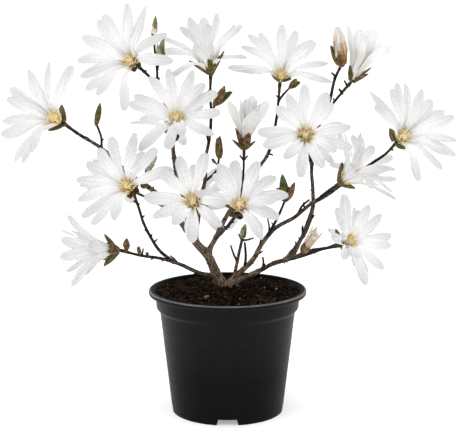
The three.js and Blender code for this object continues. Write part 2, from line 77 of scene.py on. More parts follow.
def pick(shares, dice):
    # which of the looks a draw falls on
    return int(np.searchsorted(shares, dice(), side="right"))


def turnAbout(first, second, angle):
    # from first towards second by an angle, row by row when the angle is an array
    c, s = np.cos(angle), np.sin(angle)
    if np.ndim(angle):
        c, s = c[:, None], s[:, None]
    return first * c + second * s


def facing(turn, lift):
    t, l = np.radians(turn), np.radians(lift)
    axis = np.array([cos(l) * sin(t), -cos(l) * cos(t), sin(l)])
    right = np.array([cos(t), sin(t), 0.0])
    return axis, right, np.cross(axis, right)


def wrapped(rows, around):
    # the corner numbers of a tube's rings, and the quads between them
    first = np.arange(rows * around).reshape(rows, around)
    after = np.roll(first, -1, axis=1)
    return first, after, np.stack([first[:-1], after[:-1], after[1:], first[1:]], axis=-1).reshape(-1, 4)


def enclosed(points, corners):
    p, q, r = (points[corners[:, k]] - points[0] for k in range(3))
    return float(np.einsum("ij,ij->", p, np.cross(q, r)))


class Heap:
    # gathers closed tubes that become one joined mesh
    def __init__(self):
        self.points, self.quads, self.tris, self.quadLooks, self.triLooks, self.marks = [], [], [], [], [], []
        self.count = 0

    def tube(self, rings, looks=0, tip=None, marks=None):
        # rings: rows of equal length; looks: one number, or one per row gap, or a full grid;
        # marks: a straightened position for each point, where its own one won't do
        rings = np.asarray(rings, float)
        rows, around = rings.shape[:2]
        first, after, quads = wrapped(rows, around)
        high = rings[-1].mean(axis=0) if tip is None else tip
        points = np.vstack([rings.reshape(-1, 3), rings[0].mean(axis=0), high])
        end = np.full(around, rows * around)
        tris = np.vstack([np.stack([after[0], first[0], end], axis=-1),
                          np.stack([first[-1], after[-1], end + 1], axis=-1)])
        if enclosed(points, quads) + enclosed(points, quads[:, [0, 2, 3]]) + enclosed(points, tris) < 0:
            quads, tris = quads[:, ::-1], tris[:, ::-1]  # turn it right side out
        grid = np.empty((rows - 1, around), int)
        grid[:] = looks if np.ndim(looks) != 1 else np.asarray(looks)[:, None]
        if marks is None:
            marks = rings
        self.points.append(points)
        self.quads.append(quads + self.count)
        self.tris.append(tris + self.count)
        self.quadLooks.append(grid.reshape(-1))
        self.triLooks.append(np.concatenate([grid[0], grid[-1]]))
        self.marks.append(np.vstack([marks.reshape(-1, 3), marks[0].mean(axis=0), marks[-1].mean(axis=0)]))
        self.count += len(points)

    def build(self, name, materials, sharpAngle=0, markName=None):
        quads, tris = np.vstack(self.quads), np.vstack(self.tris)
        mesh = bpy.data.meshes.new(name)
        mesh.from_pydata((np.vstack(self.points) * mm).tolist(), [], quads.tolist() + tris.tolist())
        for material in materials:
            mesh.materials.append(material)
        looks = np.concatenate(self.quadLooks + self.triLooks)
        mesh.polygons.foreach_set("material_index", looks.astype(np.int32))
        mesh.polygons.foreach_set("use_smooth", np.ones(len(mesh.polygons), bool))
        if markName:
            layer = mesh.attributes.new(markName, "FLOAT_VECTOR", "POINT")
            layer.data.foreach_set("vector", np.vstack(self.marks).astype(np.float32).reshape(-1))
        mesh.update()
        if sharpAngle:
            mesh.set_sharp_from_angle(angle=radians(sharpAngle))
        print(f"{name}: {2 * len(quads) + len(tris)} triangles")
        return addPiece(name, mesh)


def addPiece(name, mesh):
    piece = bpy.data.objects.new(name, mesh)
    bpy.context.scene.collection.objects.link(piece)
    return piece


def dress(piece, nodes):
    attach(piece, "root")
    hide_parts(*nodes)


class Skin:
    # a material and the kinds of nodes it is put together from
    def __init__(self, name, values):
        self.material = bpy.data.materials.new(name)
        self.material.use_nodes = True
        self.tree = self.material.node_tree
        self.body = self.tree.nodes["Principled BSDF"]
        self.fill(self.body, values)

    def fill(self, node, values, wires=None):
        # values: what a socket or a setting is set to; wires: what runs into a socket
        for key, value in values.items():
            if isinstance(key, str) and key not in node.inputs:
                setattr(node, key, value)
            else:
                node.inputs[key].default_value = value
        for key, source in (wires or {}).items():
            self.tree.links.new(source, node.inputs[key])
        return node.outputs

    def add(self, kind, values, wires=None):
        return self.fill(self.tree.nodes.new("ShaderNode" + kind), values, wires)

    def place(self, coords, stretch):
        # where a pattern falls: on the object, or on a straightened position stored in the mesh
        if coords:
            spot = self.add("Attribute", {"attribute_name": coords})["Vector"]
        else:
            spot = self.add("TexCoord", {})["Object"]
        return self.add("Mapping", {"Scale": stretch}, {"Vector": spot})[0]

    def noise(self, place, scale, detail, roughness):
        values = {"Scale": scale, "Detail": detail, "Roughness": roughness}
        return self.add("TexNoise", values, {"Vector": place})["Fac"]

    def ramp(self, value, places, colours):
        node = self.tree.nodes.new("ShaderNodeValToRGB")
        stops = node.color_ramp.elements
        while len(stops) < len(colours):
            stops.new(0.5)
        for stop, place, colour in zip(stops, places, colours):
            stop.position, stop.color = place, (*colour, 1)
        return self.fill(node, {}, {"Fac": value})["Color"]

    def bump(self, height, strength, depth, below=None):
        wires = {"Height": height, "Normal": below} if below else {"Height": height}
        return self.add("Bump", {"Strength": strength, "Distance": depth}, wires)["Normal"]


def grainedMaterial(name, colours, places=(0.3, 0.7), grain=500, coords=None, stretch=(1, 1, 1),
                    rough=(0.5, 0.7), bumps=(), dots=None, gloss=0.5, shader=None):
    # a noise-driven colour, a noise-driven gloss and layers of small relief
    skin = Skin(name, {"Specular IOR Level": gloss, **(shader or {})})
    place = skin.place(coords, stretch)
    cloud = skin.noise(place, grain, 6, 0.62)
    colour = skin.ramp(cloud, places, colours)
    if dots:
        scale, size, dotColour = dots
        away = skin.add("TexVoronoi", {"Scale": scale}, {"Vector": place})["Distance"]
        inDot = skin.add("MapRange", {"From Min": size, "From Max": size * 0.6}, {"Value": away})[0]
        colour = skin.add("Mix", {"data_type": "RGBA", 7: (*dotColour, 1)}, {0: inDot, 6: colour})[2]
    sheen = skin.add("MapRange", {"To Min": rough[0], "To Max": rough[1]}, {"Value": cloud})[0]
    skin.fill(skin.body, {}, {"Base Color": colour, "Roughness": sheen})
    normal = None
    for scale, strength, depth in bumps:
        normal = skin.bump(skin.noise(place, scale, 5, 0.6), strength, depth, normal)
        skin.fill(skin.body, {}, {"Normal": normal})
    return skin.material


def materialSet(rows, **shared):
    # rows: a name, its colours from dark to light, and what it doesn't share with the others
    return [grainedMaterial(name, colours, **dict(shared, **dict(*own))) for name, colours, *own in rows]


def tepalMaterial(name, light, shade):
    # soft satin skin with fine veins that run along the tepal, in its relief and faintly in its colour
    skin = Skin(name, {"Roughness": 0.5, "Specular IOR Level": 0.25, "Sheen Weight": 0.06,
                       "Subsurface Weight": 0.45, "Subsurface Radius": (1.0, 0.9, 0.8),
                       "Subsurface Scale": 0.003})
    veins = skin.noise(skin.place("blade", (0.85, 0.03, 0.05)), 1.0, 3, 0.5)
    skin.fill(skin.body, {}, {"Base Color": skin.ramp(veins, (0.36, 0.60), (shade, light)),
                              "Normal": skin.bump(veins, 0.5, 0.0007)})
    return skin.material


class Route:
    # the same smooth run through points that the solids were drawn along
    def __init__(self, points):
        self.points = np.asarray(points, float)
        self.fine = np.linspace(0, 1, 201)
        steps = np.linalg.norm(np.diff(self.at(self.fine), axis=0), axis=1)
        self.lengths = np.concatenate([[0], np.cumsum(steps)])
        self.length = float(self.lengths[-1])

    def at(self, t):
        p = self.points
        count = len(p)
        padded = np.vstack([2 * p[0] - p[1], p, 2 * p[-1] - p[-2]])
        place = np.clip(np.asarray(t, float), 0, 1) * (count - 1)
        cell = np.minimum(place.astype(int), count - 2)
        w = (place - cell)[..., None]
        a, b, c, d = (padded[cell + k] for k in range(4))
        m0, m1 = 0.5 * (c - a), 0.5 * (d - b)
        return b + m0 * w + (-3 * b + 3 * c - 2 * m0 - m1) * w ** 2 + (2 * b - 2 * c + m0 + m1) * w ** 3

    def share(self, u):
        return self.at(np.interp(np.asarray(u, float) * self.length, self.lengths, self.fine))

    def heading(self, u):
        u = np.asarray(u, float)
        t = np.interp(u * self.length, self.lengths, self.fine)
        run = self.at(np.minimum(1, t + 0.002)) - self.at(np.maximum(0, t - 0.002))
        return run / np.linalg.norm(run, axis=-1, keepdims=True)


studio = {
    "camera": (4.1, -1560, 506.5), "pitch": 10.1, "lens": 103.48052,
    "floorRadius": 60000, "world": 0.90, "floorGlow": 0.35,
    "suns": [  # (strength, softness, turn, lift)
        (0.50, 40, -38, 48),
        (0.20, 60, 70, 30),
        (0.35, 16, 128, 16),
        (0.35, 16, -128, 16),
    ],
}


def setStudio():
    scene = bpy.context.scene
    view = bpy.data.cameras.new("camera")
    view.lens, view.sensor_width = studio["lens"], 36
    view.clip_start, view.clip_end = 0.05, 400
    camera = addPiece("camera", view)
    camera.location = [c * mm for c in studio["camera"]]
    camera.rotation_euler = (radians(90 - studio["pitch"]), 0, 0)
    scene.camera = camera
    scene.view_settings.view_transform = "Standard"
    scene.view_settings.look = "None"

    world = bpy.data.worlds.new("studio")
    world.use_nodes = True
    sky = world.node_tree.nodes["Background"]
    sky.inputs["Color"].default_value = (1, 1, 1, 1)
    sky.inputs["Strength"].default_value = studio["world"]
    scene.world = world
    for k, (strength, softness, turn, lift) in enumerate(studio["suns"]):
        light = bpy.data.lights.new(f"soft_light_{k}", "SUN")
        light.energy, light.angle = strength, radians(softness)
        lamp = addPiece(light.name, light)
        lamp.rotation_euler = Vector(facing(turn, lift)[0]).to_track_quat("Z", "Y").to_euler()

    rim = circle(128) * studio["floorRadius"] * mm
    mesh = bpy.data.meshes.new("floor")
    mesh.from_pydata([(x, y, 0) for x, y in rim], [], [range(len(rim))])
    mesh.materials.append(grainedMaterial(
        "floor_paper", [(0.90, 0.90, 0.90), (0.92, 0.92, 0.92)], grain=3, rough=(0.85, 0.95), gloss=0.1,
        shader={"Emission Color": (1, 1, 1, 1), "Emission Strength": studio["floorGlow"]}))
    addPiece("floor", mesh)
    print("studio set")


pot = {
    "segments": 192, "rimRadius": 95, "height": 150, "lipHeight": 6, "lipWidth": 6.4, "lipRound": 2.2,
    "bandRadius": 87, "bandDraft": 1.5, "bandHeight": 16, "shoulderRadius": 81.5, "shoulderHeight": 4,
    "footRadius": 67.3, "footHeight": 8.5, "wall": 2.2, "notchWidth": 25, "notchHeight": 7, "notches": 4,
    "drainRadius": 5.5, "drainRing": 44, "drains": 5, "drainSides": 24, "edgeRound": 0.7, "softRound": 1.6,
    "slightRound": 0.8, "rings": (92, 98, 104), "ringDepth": 0.12, "ringRound": 0.2, "longestStep": 3.5,
    "highlightWidth": 2.6, "highlightHeight": 2.2,
    "shadeHeights": (96, 86, 76, 66, 56),  # under each of these heights the wall is painted a little darker, as painted shade towards the foot
}


def arcCorner(before, corner, after, radius, steps=4):
    # rounds one corner of a profile
    b, c, a = (np.array(p, float) for p in (before, corner, after))
    u, v = unit(b - c), unit(a - c)
    start, end = c + u * radius, c + v * radius
    t = np.linspace(0, 1, steps + 1)[:, None]
    return ((1 - t) ** 2 * start + 2 * t * (1 - t) * c + t ** 2 * end).tolist()


def roundProfile(corners):
    # corners: (radius, height, rounding)
    done = []
    for k, (r, z, rounding) in enumerate(corners):
        if rounding and 0 < k < len(corners) - 1:
            done += arcCorner(corners[k - 1][:2], (r, z), corners[k + 1][:2], rounding)
        else:
            done.append([r, z])
    return done


def splitLong(profile, longest):
    done = [profile[0]]
    for here in profile[1:]:
        last = np.array(done[-1])
        gap = np.linalg.norm(np.array(here) - last)
        parts = max(1, ceil(gap / longest))
        done += [(last + (np.array(here) - last) * k / parts).tolist() for k in range(1, parts + 1)]
    return np.array(done)


def potProfile(p, floorTop):
    # from the floor's underside out, up the wall, over the lip and down inside
    wall, soft, slight = p["wall"], p["softRound"], p["slightRound"]
    lipFoot = p["height"] - p["lipHeight"]
    bandFoot = lipFoot - p["bandHeight"]
    shoulder = bandFoot - p["shoulderHeight"]
    bandFootRadius = p["bandRadius"] - p["bandDraft"]
    rim = p["rimRadius"] - 0.2
    slope = (p["shoulderRadius"] - p["footRadius"]) / shoulder
    corners = [
        (p["footRadius"] - wall - 4, p["footHeight"], 0),
        (p["footRadius"] - wall, p["footHeight"], slight),
        (p["footRadius"] - wall, 0, 0.4),
        (p["footRadius"], 0, p["edgeRound"]),
    ]
    for z in p["rings"]:  # faint moulded steps
        r, turn = p["footRadius"] + slope * z, p["ringRound"]
        inner = r - p["ringDepth"]
        corners += [(r, z, turn), (inner, z + 0.5, turn), (inner + slope, z + 1.4, turn)]
    corners += [
        (p["shoulderRadius"], shoulder, soft),
        (bandFootRadius, bandFoot, soft),
        (p["bandRadius"], lipFoot, slight),
        (rim, lipFoot, p["lipRound"]),
        (rim, p["height"], p["lipRound"]),
        (p["rimRadius"] - p["lipWidth"], p["height"], 1.2),
        (p["bandRadius"] - wall, lipFoot, slight),
        (bandFootRadius - wall, bandFoot, slight),
        (p["shoulderRadius"] - wall, shoulder, slight),
        (p["footRadius"] + slope * floorTop - wall, floorTop, 1),
        (p["footRadius"] - 12, floorTop, 0),
    ]
    return splitLong(roundProfile(corners), p["longestStep"])


def nextOnes(loop):
    return loop[1:] + loop[:1]


def fillFloor(bm, edgeLoops, heights):
    # the floor's two faces between the wall and the drain holes, and the holes' own walls
    rim = circle(pot["drainSides"]) * pot["drainRadius"]
    holes = []
    for k in range(pot["drains"]):
        turn = 2 * pi * (k + 0.5) / pot["drains"]
        holes.append(pot["drainRing"] * np.array([cos(turn), sin(turn)]) + rim)
    lower, upper = ([[bm.verts.new((x * mm, y * mm, z * mm)) for x, y in hole] for hole in holes]
                    for z in heights)
    for low, high in zip(lower, upper):
        for corners in zip(low, nextOnes(low), nextOnes(high), high):
            bm.faces.new(corners)
    for edge, loops in zip(edgeLoops, (lower, upper)):
        edges = [bm.edges.get(pair) for loop in [edge, *loops] for pair in zip(loop, nextOnes(loop))]
        bmesh.ops.triangle_fill(bm, edges=edges, use_beauty=True)


def potLook(face):
    # 0 the wall, 1 the lip's rounded outer edge, painted lighter as a highlight, 2 the inside and the lip's
    # flat top, painted darker as shade, then painted shade darker and darker towards the foot
    x, y, z = face.center / mm
    onEdge = hypot(x, y) > pot["rimRadius"] - pot["highlightWidth"]
    if z > pot["height"] - pot["highlightHeight"] and onEdge and face.normal.z > 0.25:
        return 1
    inside = face.normal.x * x + face.normal.y * y < 0 or not onEdge and face.normal.z > 0.5
    if inside and z > min(pot["shadeHeights"]):
        return 2
    darker = sum(z < height for height in pot["shadeHeights"])
    return 2 + darker if darker else 0


def makePot():
    floorTop = pot["footHeight"] + pot["wall"]
    profile = potProfile(pot, floorTop)
    angles = roundTurns(pot["segments"])
    rings = np.stack([profile[:, :1] * np.cos(angles), profile[:, :1] * np.sin(angles),
                      np.repeat(profile[:, 1:], len(angles), axis=1)], axis=-1)
    # the foot rim rises over each notch: points under the notch's height go up to it
    halfTurn = asin(pot["notchWidth"] / 2 / pot["footRadius"]) + 0.004
    apart = 2 * pi / pot["notches"]
    turns = (angles + apart) % apart
    low = (rings[:, :, 2] < pot["notchHeight"]) & (np.minimum(turns, apart - turns) < halfTurn)
    rings[:, :, 2] = np.where(low, pot["notchHeight"] + 0.02 * rings[:, :, 2], rings[:, :, 2])

    first, _, quads = wrapped(*rings.shape[:2])
    bm = bmesh.new()
    verts = [bm.verts.new(point * mm) for point in rings.reshape(-1, 3)]
    for quad in quads:
        bm.faces.new([verts[i] for i in quad])
    fillFloor(bm, [[verts[i] for i in first[end]] for end in (0, -1)], (pot["footHeight"], floorTop))
    bmesh.ops.recalc_face_normals(bm, faces=bm.faces)
    for face in bm.faces:
        face.smooth = True
    mesh = bpy.data.meshes.new("pot")
    bm.to_mesh(mesh)
    bm.free()
    mesh.set_sharp_from_angle(angle=radians(40))
    for face in mesh.polygons:
        face.material_index = potLook(face)

    plastics = [
        ("black_moulded_plastic",
         [(0.0028, 0.0029, 0.0034), (0.0046, 0.0047, 0.0052), (0.009, 0.0088, 0.009)], dict(gloss=0.10)),
        # painted highlight: the lip's rounded outer edge is dealt a light grey plastic
        ("rubbed_plastic",
         [(0.07, 0.071, 0.075), (0.13, 0.132, 0.138), (0.20, 0.202, 0.21)], dict(gloss=0.35)),
        # painted shade: the inside and the lip's flat top are dealt a darker black, with less gloss
        ("inner_plastic",
         [(0.0016, 0.0016, 0.0018), (0.003, 0.003, 0.0034), (0.007, 0.0068, 0.0068)], dict(gloss=0.02)),
    ]
    # painted shade: the wall's plastic is dealt darker, step by step, towards the foot
    for k in range(len(pot["shadeHeights"])):
        greys = [(0.0028 - 0.0002 * k,) * 3, (0.0043 - 0.0003 * k,) * 3, (0.0084 - 0.0006 * k,) * 3]
        plastics.append((f"shaded_plastic_{k + 1}", greys, dict(gloss=0.094 - 0.007 * k)))
    for material in materialSet(plastics, places=(0.3, 0.62, 0.8), grain=55, stretch=(1, 1, 0.5),
                                rough=(0.36, 0.52), bumps=((900, 0.16, 0.0002), (60, 0.05, 0.001))):
        mesh.materials.append(material)
    dress(addPiece("pot_shell", mesh), ["pot"])
    print(f"pot: {len(mesh.polygons)} faces")


soil = {
    "edge": 146.6, "mound": 148.4, "moundReach": (19.2, 62), "radius": 86.6, "low": 84.2, "heap": 2.6,
    "heapReach": (11, 30), "lumps": (0.06, 1.1), "crumbs": (0.31, 0.8), "steps": 46, "around": 150,
    "sides": [(11.1, 0.80), (60, 0.86), (120, 0.93), (138, 0.985), (143.4, 1)],  # height, share of the radius
    "chips": 3300, "chipSizes": (1.1, 3.7), "smallBias": 2.2, "picks": (0.60, 0.87, 0.975), "crumbSize": 0.62,
    "lift": 0.28, "clear": 2.5, "bigChip": (-25, -38, 1.6, 4.6), "seed": 5,
}

chip = {
    "long": (0.8, 1.7), "wide": (0.45, 0.95), "thick": (0.22, 0.55), "tilt": 0.6, "sides": 6,
    "sections": ((-0.86, 0.55), (-0.3, 1.0), (0.34, 0.92), (0.84, 0.5)), "shift": 0.1, "torn": (0.75, 1.2),
}


def soilHeight(x, y):
    mound = 1 - float(smooth(hypot(x, y), *soil["moundReach"]))
    rise = soil["edge"] + (soil["mound"] - soil["edge"]) * mound
    collar = bark["collar"]
    near = hypot(x - collar["x"], (y - collar["y"]) / collar["depth"])
    rise += soil["heap"] * (1 - float(smooth(near, *soil["heapReach"])))
    lumps, lumpHeight = soil["lumps"]
    crumbs, crumbHeight = soil["crumbs"]
    rise += lump(x * lumps, y * lumps, 3.1) * lumpHeight
    return rise + lump(x * crumbs, y * crumbs, 7.7) * crumbHeight - 0.5


def addChip(heap, centre, size, dice, look):
    # a torn flake: a lopsided ball pulled flat and long
    long, wide, thick = (size * dice(*chip[key]) for key in ("long", "wide", "thick"))
    spin = dice(0, 2 * pi)
    tip, bank = (dice(-chip["tilt"], chip["tilt"]) for _ in range(2))
    a = np.array([cos(spin) * cos(tip), sin(spin) * cos(tip), sin(tip)])
    b = unit(np.cross([0, 0, 1], a) + bank * np.array([0, 0, 1.0]))
    c = unit(np.cross(a, b))
    b = np.cross(c, a)
    rings = [[centre + a * long * (step + dice(-chip["shift"], chip["shift"]))
              + b * wide * cos(turn) * girth * dice(*chip["torn"])
              + c * thick * sin(turn) * girth * dice(*chip["torn"]) for turn in roundTurns(chip["sides"])]
             for step, girth in chip["sections"]]
    heap.tube(rings, look)


def makeSoil():
    flat = circle(soil["around"])
    rings = [np.column_stack([flat * soil["low"] * share, np.full(len(flat), float(z))])
             for z, share in soil["sides"]]
    for k in range(soil["steps"]):
        spots = flat * (soil["radius"] * (1 - k / soil["steps"]) + 0.01)
        rings.append([(x, y, soilHeight(x, y)) for x, y in spots])
    heap = Heap()
    heap.tube(rings)
    bed = heap.build("soil_bed", [grainedMaterial(
        "damp_compost", [(0.003, 0.002, 0.001), (0.012, 0.0065, 0.003), (0.05, 0.025, 0.010)],
        places=(0.35, 0.6, 0.8), grain=420, rough=(0.75, 0.98), gloss=0.05,
        bumps=((500, 0.9, 0.0012), (1500, 0.7, 0.0005)))])
    dress(bed, ["soil"])

    dice = makeDice(soil["seed"])
    heap = Heap()
    smallest, largest = soil["chipSizes"]
    for _ in range(soil["chips"]):
        r, a = (soil["radius"] - soil["clear"]) * sqrt(dice()), dice(0, 2 * pi)
        x, y = r * cos(a), r * sin(a)
        size = smallest + (largest - smallest) * dice() ** soil["smallBias"]
        look = pick(soil["picks"], dice)
        if look > 1:  # the pale ones are crumbs
            size *= soil["crumbSize"]
        size = min(size, soil["radius"] - 0.3 - r)
        addChip(heap, np.array([x, y, soilHeight(x, y) + size * dice(0, soil["lift"])]), size, dice, look)
    x, y, up, size = soil["bigChip"]  # one big piece of bark
    addChip(heap, np.array([x, y, soilHeight(x, y) + up]), size, dice, len(soil["picks"]) + 1)
    chips = heap.build("soil_chips", materialSet([
        ("chip_black", [(0.003, 0.002, 0.001), (0.010, 0.0055, 0.0025)],
         dict(grain=900, rough=(0.7, 0.95), gloss=0.05)),
        ("chip_brown", [(0.010, 0.005, 0.002), (0.045, 0.021, 0.008)], dict(gloss=0.08)),
        ("chip_rust", [(0.06, 0.026, 0.009), (0.20, 0.098, 0.036)], dict(gloss=0.1)),
        ("chip_tan", [(0.19, 0.10, 0.05), (0.38, 0.23, 0.13)], dict(grain=700)),
        ("bark_piece", [(0.10, 0.05, 0.015), (0.32, 0.17, 0.055)], dict(grain=500)),
    ], places=(0.35, 0.7), grain=800, rough=(0.6, 0.9), bumps=((1500, 0.8, 0.0006),)), sharpAngle=35)
    dress(chips, ["soil"])


# Each starts on another limb, "at" a share of its length, and ends at "tip" in a bloom or a bud.
# Buds and short limbs have no bough of their own. An aged one keeps older bark than its thickness asks for.
trunkLimb = {"name": "trunk", "foot": (-5, 12, 147.3), "via": [(-17, 9, 175), (-25, 6, 191), (-38, 3, 207)],
             "tip": (-48, 0, 222), "thick": (13, 8.5)}
knotSpacing, knotOffset, thinning = 24, 1.3, 0.8


def limbRow(name, on, at, via, tip, thick, **bears):
    return {"name": name, "on": on, "at": at, "via": via, "tip": tip, "thick": thick, **bears}


def bloomRow(turn, lift, across, opening, count, seed, nest=0.14, roll=0, gap=0, side=0, shut=0):
    return {"turn": turn, "lift": lift, "across": across, "open": opening, "count": count, "seed": seed,
            "nest": nest, "roll": roll, "gap": gap, "side": side, "shut": shut}


def budRow(turn, lift, length, across):
    return {"turn": turn, "lift": lift, "length": length, "across": across}


limbs = [
    limbRow("far_left", "trunk", 1, [(-80, -14, 264), (-116, -20, 291), (-131, -20, 309)],
            (-193, -21, 353), (7.4, 3.4), bloom=bloomRow(-38, 22, 120, 82, 12, 11, gap=150)),
    limbRow("high_left", "trunk", 1, [(-47, 6, 243), (-62, 9, 293), (-65, 9, 330), (-76, 17, 380)],
            (-108, 17, 417), (6.8, 3.2), bloom=bloomRow(-30, 22, 120, 82, 13, 23, roll=-40, gap=80)),
    limbRow("top", "trunk", 0.8, [(-32, 18, 252), (-27, 23, 290), (-21, 26, 350)], (-20, 26, 406),
            (6, 2.8), bloom=bloomRow(-36, 70, 120, 76, 12, 31, nest=0.34)),
    limbRow("middle", "trunk", 0.55, [(-15, 11, 209), (-2, 17, 232), (24, 32, 273), (51, 39, 314)],
            (63, 41, 395), (6.6, 2.8), bloom=bloomRow(6, 46, 114, 84, 11, 43, roll=-90, gap=140)),
    limbRow("centre", "middle", 0.1, [(-9, -14, 219), (2, -50, 237)], (12, -85, 259), (5, 3.2),
            bloom=bloomRow(10, 40, 102, 80, 10, 53, roll=-131, gap=118)),
    limbRow("low_left", "trunk", 0.2, [(-22, 2, 165), (-43, -6, 174), (-69, -12, 187), (-98, -16, 194)],
            (-129, -19, 201), (6, 2.8), bloom=bloomRow(-66, 2, 118, 50, 10, 61, nest=0.25, roll=20)),
    limbRow("left", "low_left", 0.47, [(-79, -20, 200), (-92, -42, 226)], (-107, -78, 282), (4.2, 2.8),
            bloom=bloomRow(-26, 24, 110, 84, 12, 71, roll=-33, gap=105)),
    limbRow("right", "trunk", 0, [(16, 12, 168), (33, 16, 185), (47, 20, 213), (58, 23, 219),
            (92, 28, 241)], (133, 4, 277), (7.6, 3.2), bloom=bloomRow(72, 38, 114, 62, 12, 83)),
    limbRow("far_right", "right", 0.76, [(128, 42, 262), (160, 44, 285), (184, 24, 304)], (201.2, 6, 327),
            (4.6, 3), bloom=bloomRow(30, 32, 121, 80, 14, 97, roll=208, gap=115)),
    limbRow("low_right", "trunk", 0, [(27, 3, 165), (54, -14, 183), (92, -40, 202)], (133, -72, 217),
            (7, 3), bloom=bloomRow(24, 24, 97, 86, 12, 101, roll=94, side=190, shut=0.45)),
    limbRow("upper_right", "low_right", 0.52, [(89, -20, 219), (101, -14, 250), (100, 2, 290),
            (110, 15, 348)], (147, 23, 396), (5.4, 2.8), bloom=bloomRow(78, 70, 106, 36, 9, 113, nest=0.4)),
    limbRow("upper_left", "high_left", 0.5, [(-60, -6, 330)], (-57, -33, 351), (3.6, 3),
            short=True, bloom=bloomRow(-8, 38, 108, 78, 13, 127, roll=-10)),
    limbRow("front_left", "trunk", 0.96, [(-46, -36, 243)], (-37, -95, 268), (4.6, 3.2),
            bloom=bloomRow(-6, 26, 98, 84, 11, 131, roll=80)),
    limbRow("upper_middle", "upper_right", 0.52, [(98, -8, 320)], (89, -43, 338), (3.8, 3),
            short=True, bloom=bloomRow(0, 18, 100, 84, 13, 149, roll=94)),
    limbRow("half_open", "middle", 0.36, [(20, 42, 280)], (20, 52, 312), (3.4, 2.6),
            short=True, bloom=bloomRow(40, 78, 102, 24, 9, 151, nest=0.3)),
    limbRow("back_left", "trunk", 0.9, [(-68, 34, 236), (-100, 62, 250)], (-128, 82, 258), (5.6, 2.8),
            bloom=bloomRow(-150, 30, 92, 86, 9, 163)),
    limbRow("back_low", "back_left", 0.3, [(-56, 62, 236)], (-42, 92, 238), (3.8, 2.8),
            bloom=bloomRow(174, 16, 92, 86, 9, 173)),
    limbRow("back_high", "high_left", 0.28, [(-61, 30, 283), (-66, 60, 306)], (-69, 88, 325), (4, 2.8),
            bloom=bloomRow(-168, 48, 92, 84, 9, 181)),
    limbRow("back_low_right", "trunk", 0, [(27, 38, 157), (56, 58, 167), (80, 76, 171), (104, 80, 177)],
            (140, 84, 188), (6.4, 2.8), bloom=bloomRow(128, 14, 88, 80, 9, 223)),
    limbRow("back_right", "back_low_right", 0.635, [(94, 88, 197), (107, 92, 232), (105, 92, 276)],
            (97, 92, 312), (4.6, 2.8), bloom=bloomRow(166, 36, 92, 86, 9, 191)),
    limbRow("back_centre", "trunk", 0.35, [(-20, 32, 190), (-8, 62, 206)], (18, 100, 226), (4.4, 2.8),
            bloom=bloomRow(-176, 24, 90, 86, 9, 199)),
    limbRow("back_far_right", "back_right", 0.5, [(120, 93, 249), (139, 94, 262)], (160, 94, 272),
            (3.8, 2.8), bloom=bloomRow(140, 34, 90, 84, 9, 211)),
    limbRow("bud_near_top_right", "upper_right", 0.8, [(127, 16, 398)], (134, 10, 417), (3.2, 3),
            bud=budRow(-30, 78, 44, 16)),
    limbRow("bud_low_right", "low_right", 0.66, [(86, -40, 200)], (88, -44, 204), (3, 2.6),
            bud=budRow(62, 44, 34, 11)),
    limbRow("bud_right", "right", 0.4, [(58, 16, 230), (65, 12, 245)], (69, 10, 256), (3.4, 2.4),
            bud=budRow(-30, 76, 32, 13)),
    limbRow("bud_top", "top", 0.68, [(-20, 20, 362)], (-15, 17, 370), (2.6, 2.4),
            bud=budRow(60, 50, 29, 11)),
    limbRow("bud_inner", "top", 0.36, [(-15, 28, 287)], (-10, 30, 306), (2.6, 2.2),
            bud=budRow(-20, 84, 26, 10)),
    limbRow("bud_high_left", "high_left", 0.83, [(-84, 10, 412)], (-86, 6, 450), (2.6, 2.2),
            bud=budRow(30, 78, 22, 7)),
    limbRow("bud_far_left", "far_left", 0.72, [(-149, -16, 338)], (-153, -14, 350), (2.4, 2.2),
            bud=budRow(40, 70, 28, 9)),
    limbRow("bud_low", "right", 0.09, [(14, 8, 186), (14, 6, 200)], (18, 4, 212), (4.2, 3.0),
            aged=0.7, bud=budRow(30, 72, 18, 8)),
]


def limbCurve(points, seed):
    plain = Route(points)
    spans = max(2, int(floor(plain.length / knotSpacing + 0.5)))
    dice = makeDice(seed)
    knots = plain.share(np.arange(spans + 1) / spans)
    for k in range(1, spans):
        knots[k] += [dice(-knotOffset, knotOffset) for _ in range(3)]
    return Route(knots)


def layOutLimbs():
    grown = {}
    for index, limb in enumerate([trunkLimb, *limbs]):
        foot = grown[limb["on"]]["route"].share(limb["at"]) if index else limb["foot"]
        limb["route"] = limbCurve([foot, *limb["via"], limb["tip"]], index + 1)
        grown[limb["name"]] = limb
    return grown


def limbRadius(limb, share):
    foot, tip = limb["thick"]
    return (foot + (tip - foot) * np.power(share, thinning)) / 2


bark = {
    "step": 1.6, "sides": 14, "nodeGap": (11, 17), "nodeSwell": 0.16, "reliefShare": 0.09,
    "oldRadius": 2.7, "midRadius": 1.95, "unevenLook": 0.25, "stalk": 13, "youngEnd": 20, "younger": -0.6,
    "flare": 0.5, "thickFoot": 6.5, "seed": 900, "budSeed": 950, "shootSeed": 1200, "firstShoot": 80,
    "collar": {"x": 2, "y": 12, "radius": 13.5, "depth": 0.86, "height": 9.9, "foot": 146.4, "lobes": 5,
               "lobeDepth": 0.16, "around": 56,
               "sections": [(0, 1.12), (0.12, 1.05), (0.25, 0.98), (0.4, 0.90), (0.6, 0.78), (0.8, 0.62),
                            (1, 0.42)]},
    "restingBud": {"profile": [(0, 0.7), (0.2, 1.0), (0.5, 0.9), (0.8, 0.45), (1.0, 0)], "thickest": 3.2,
                   "clear": 9, "missing": 0.35, "length": (2.6, 4.6), "radius": (0.8, 1.25)},
}

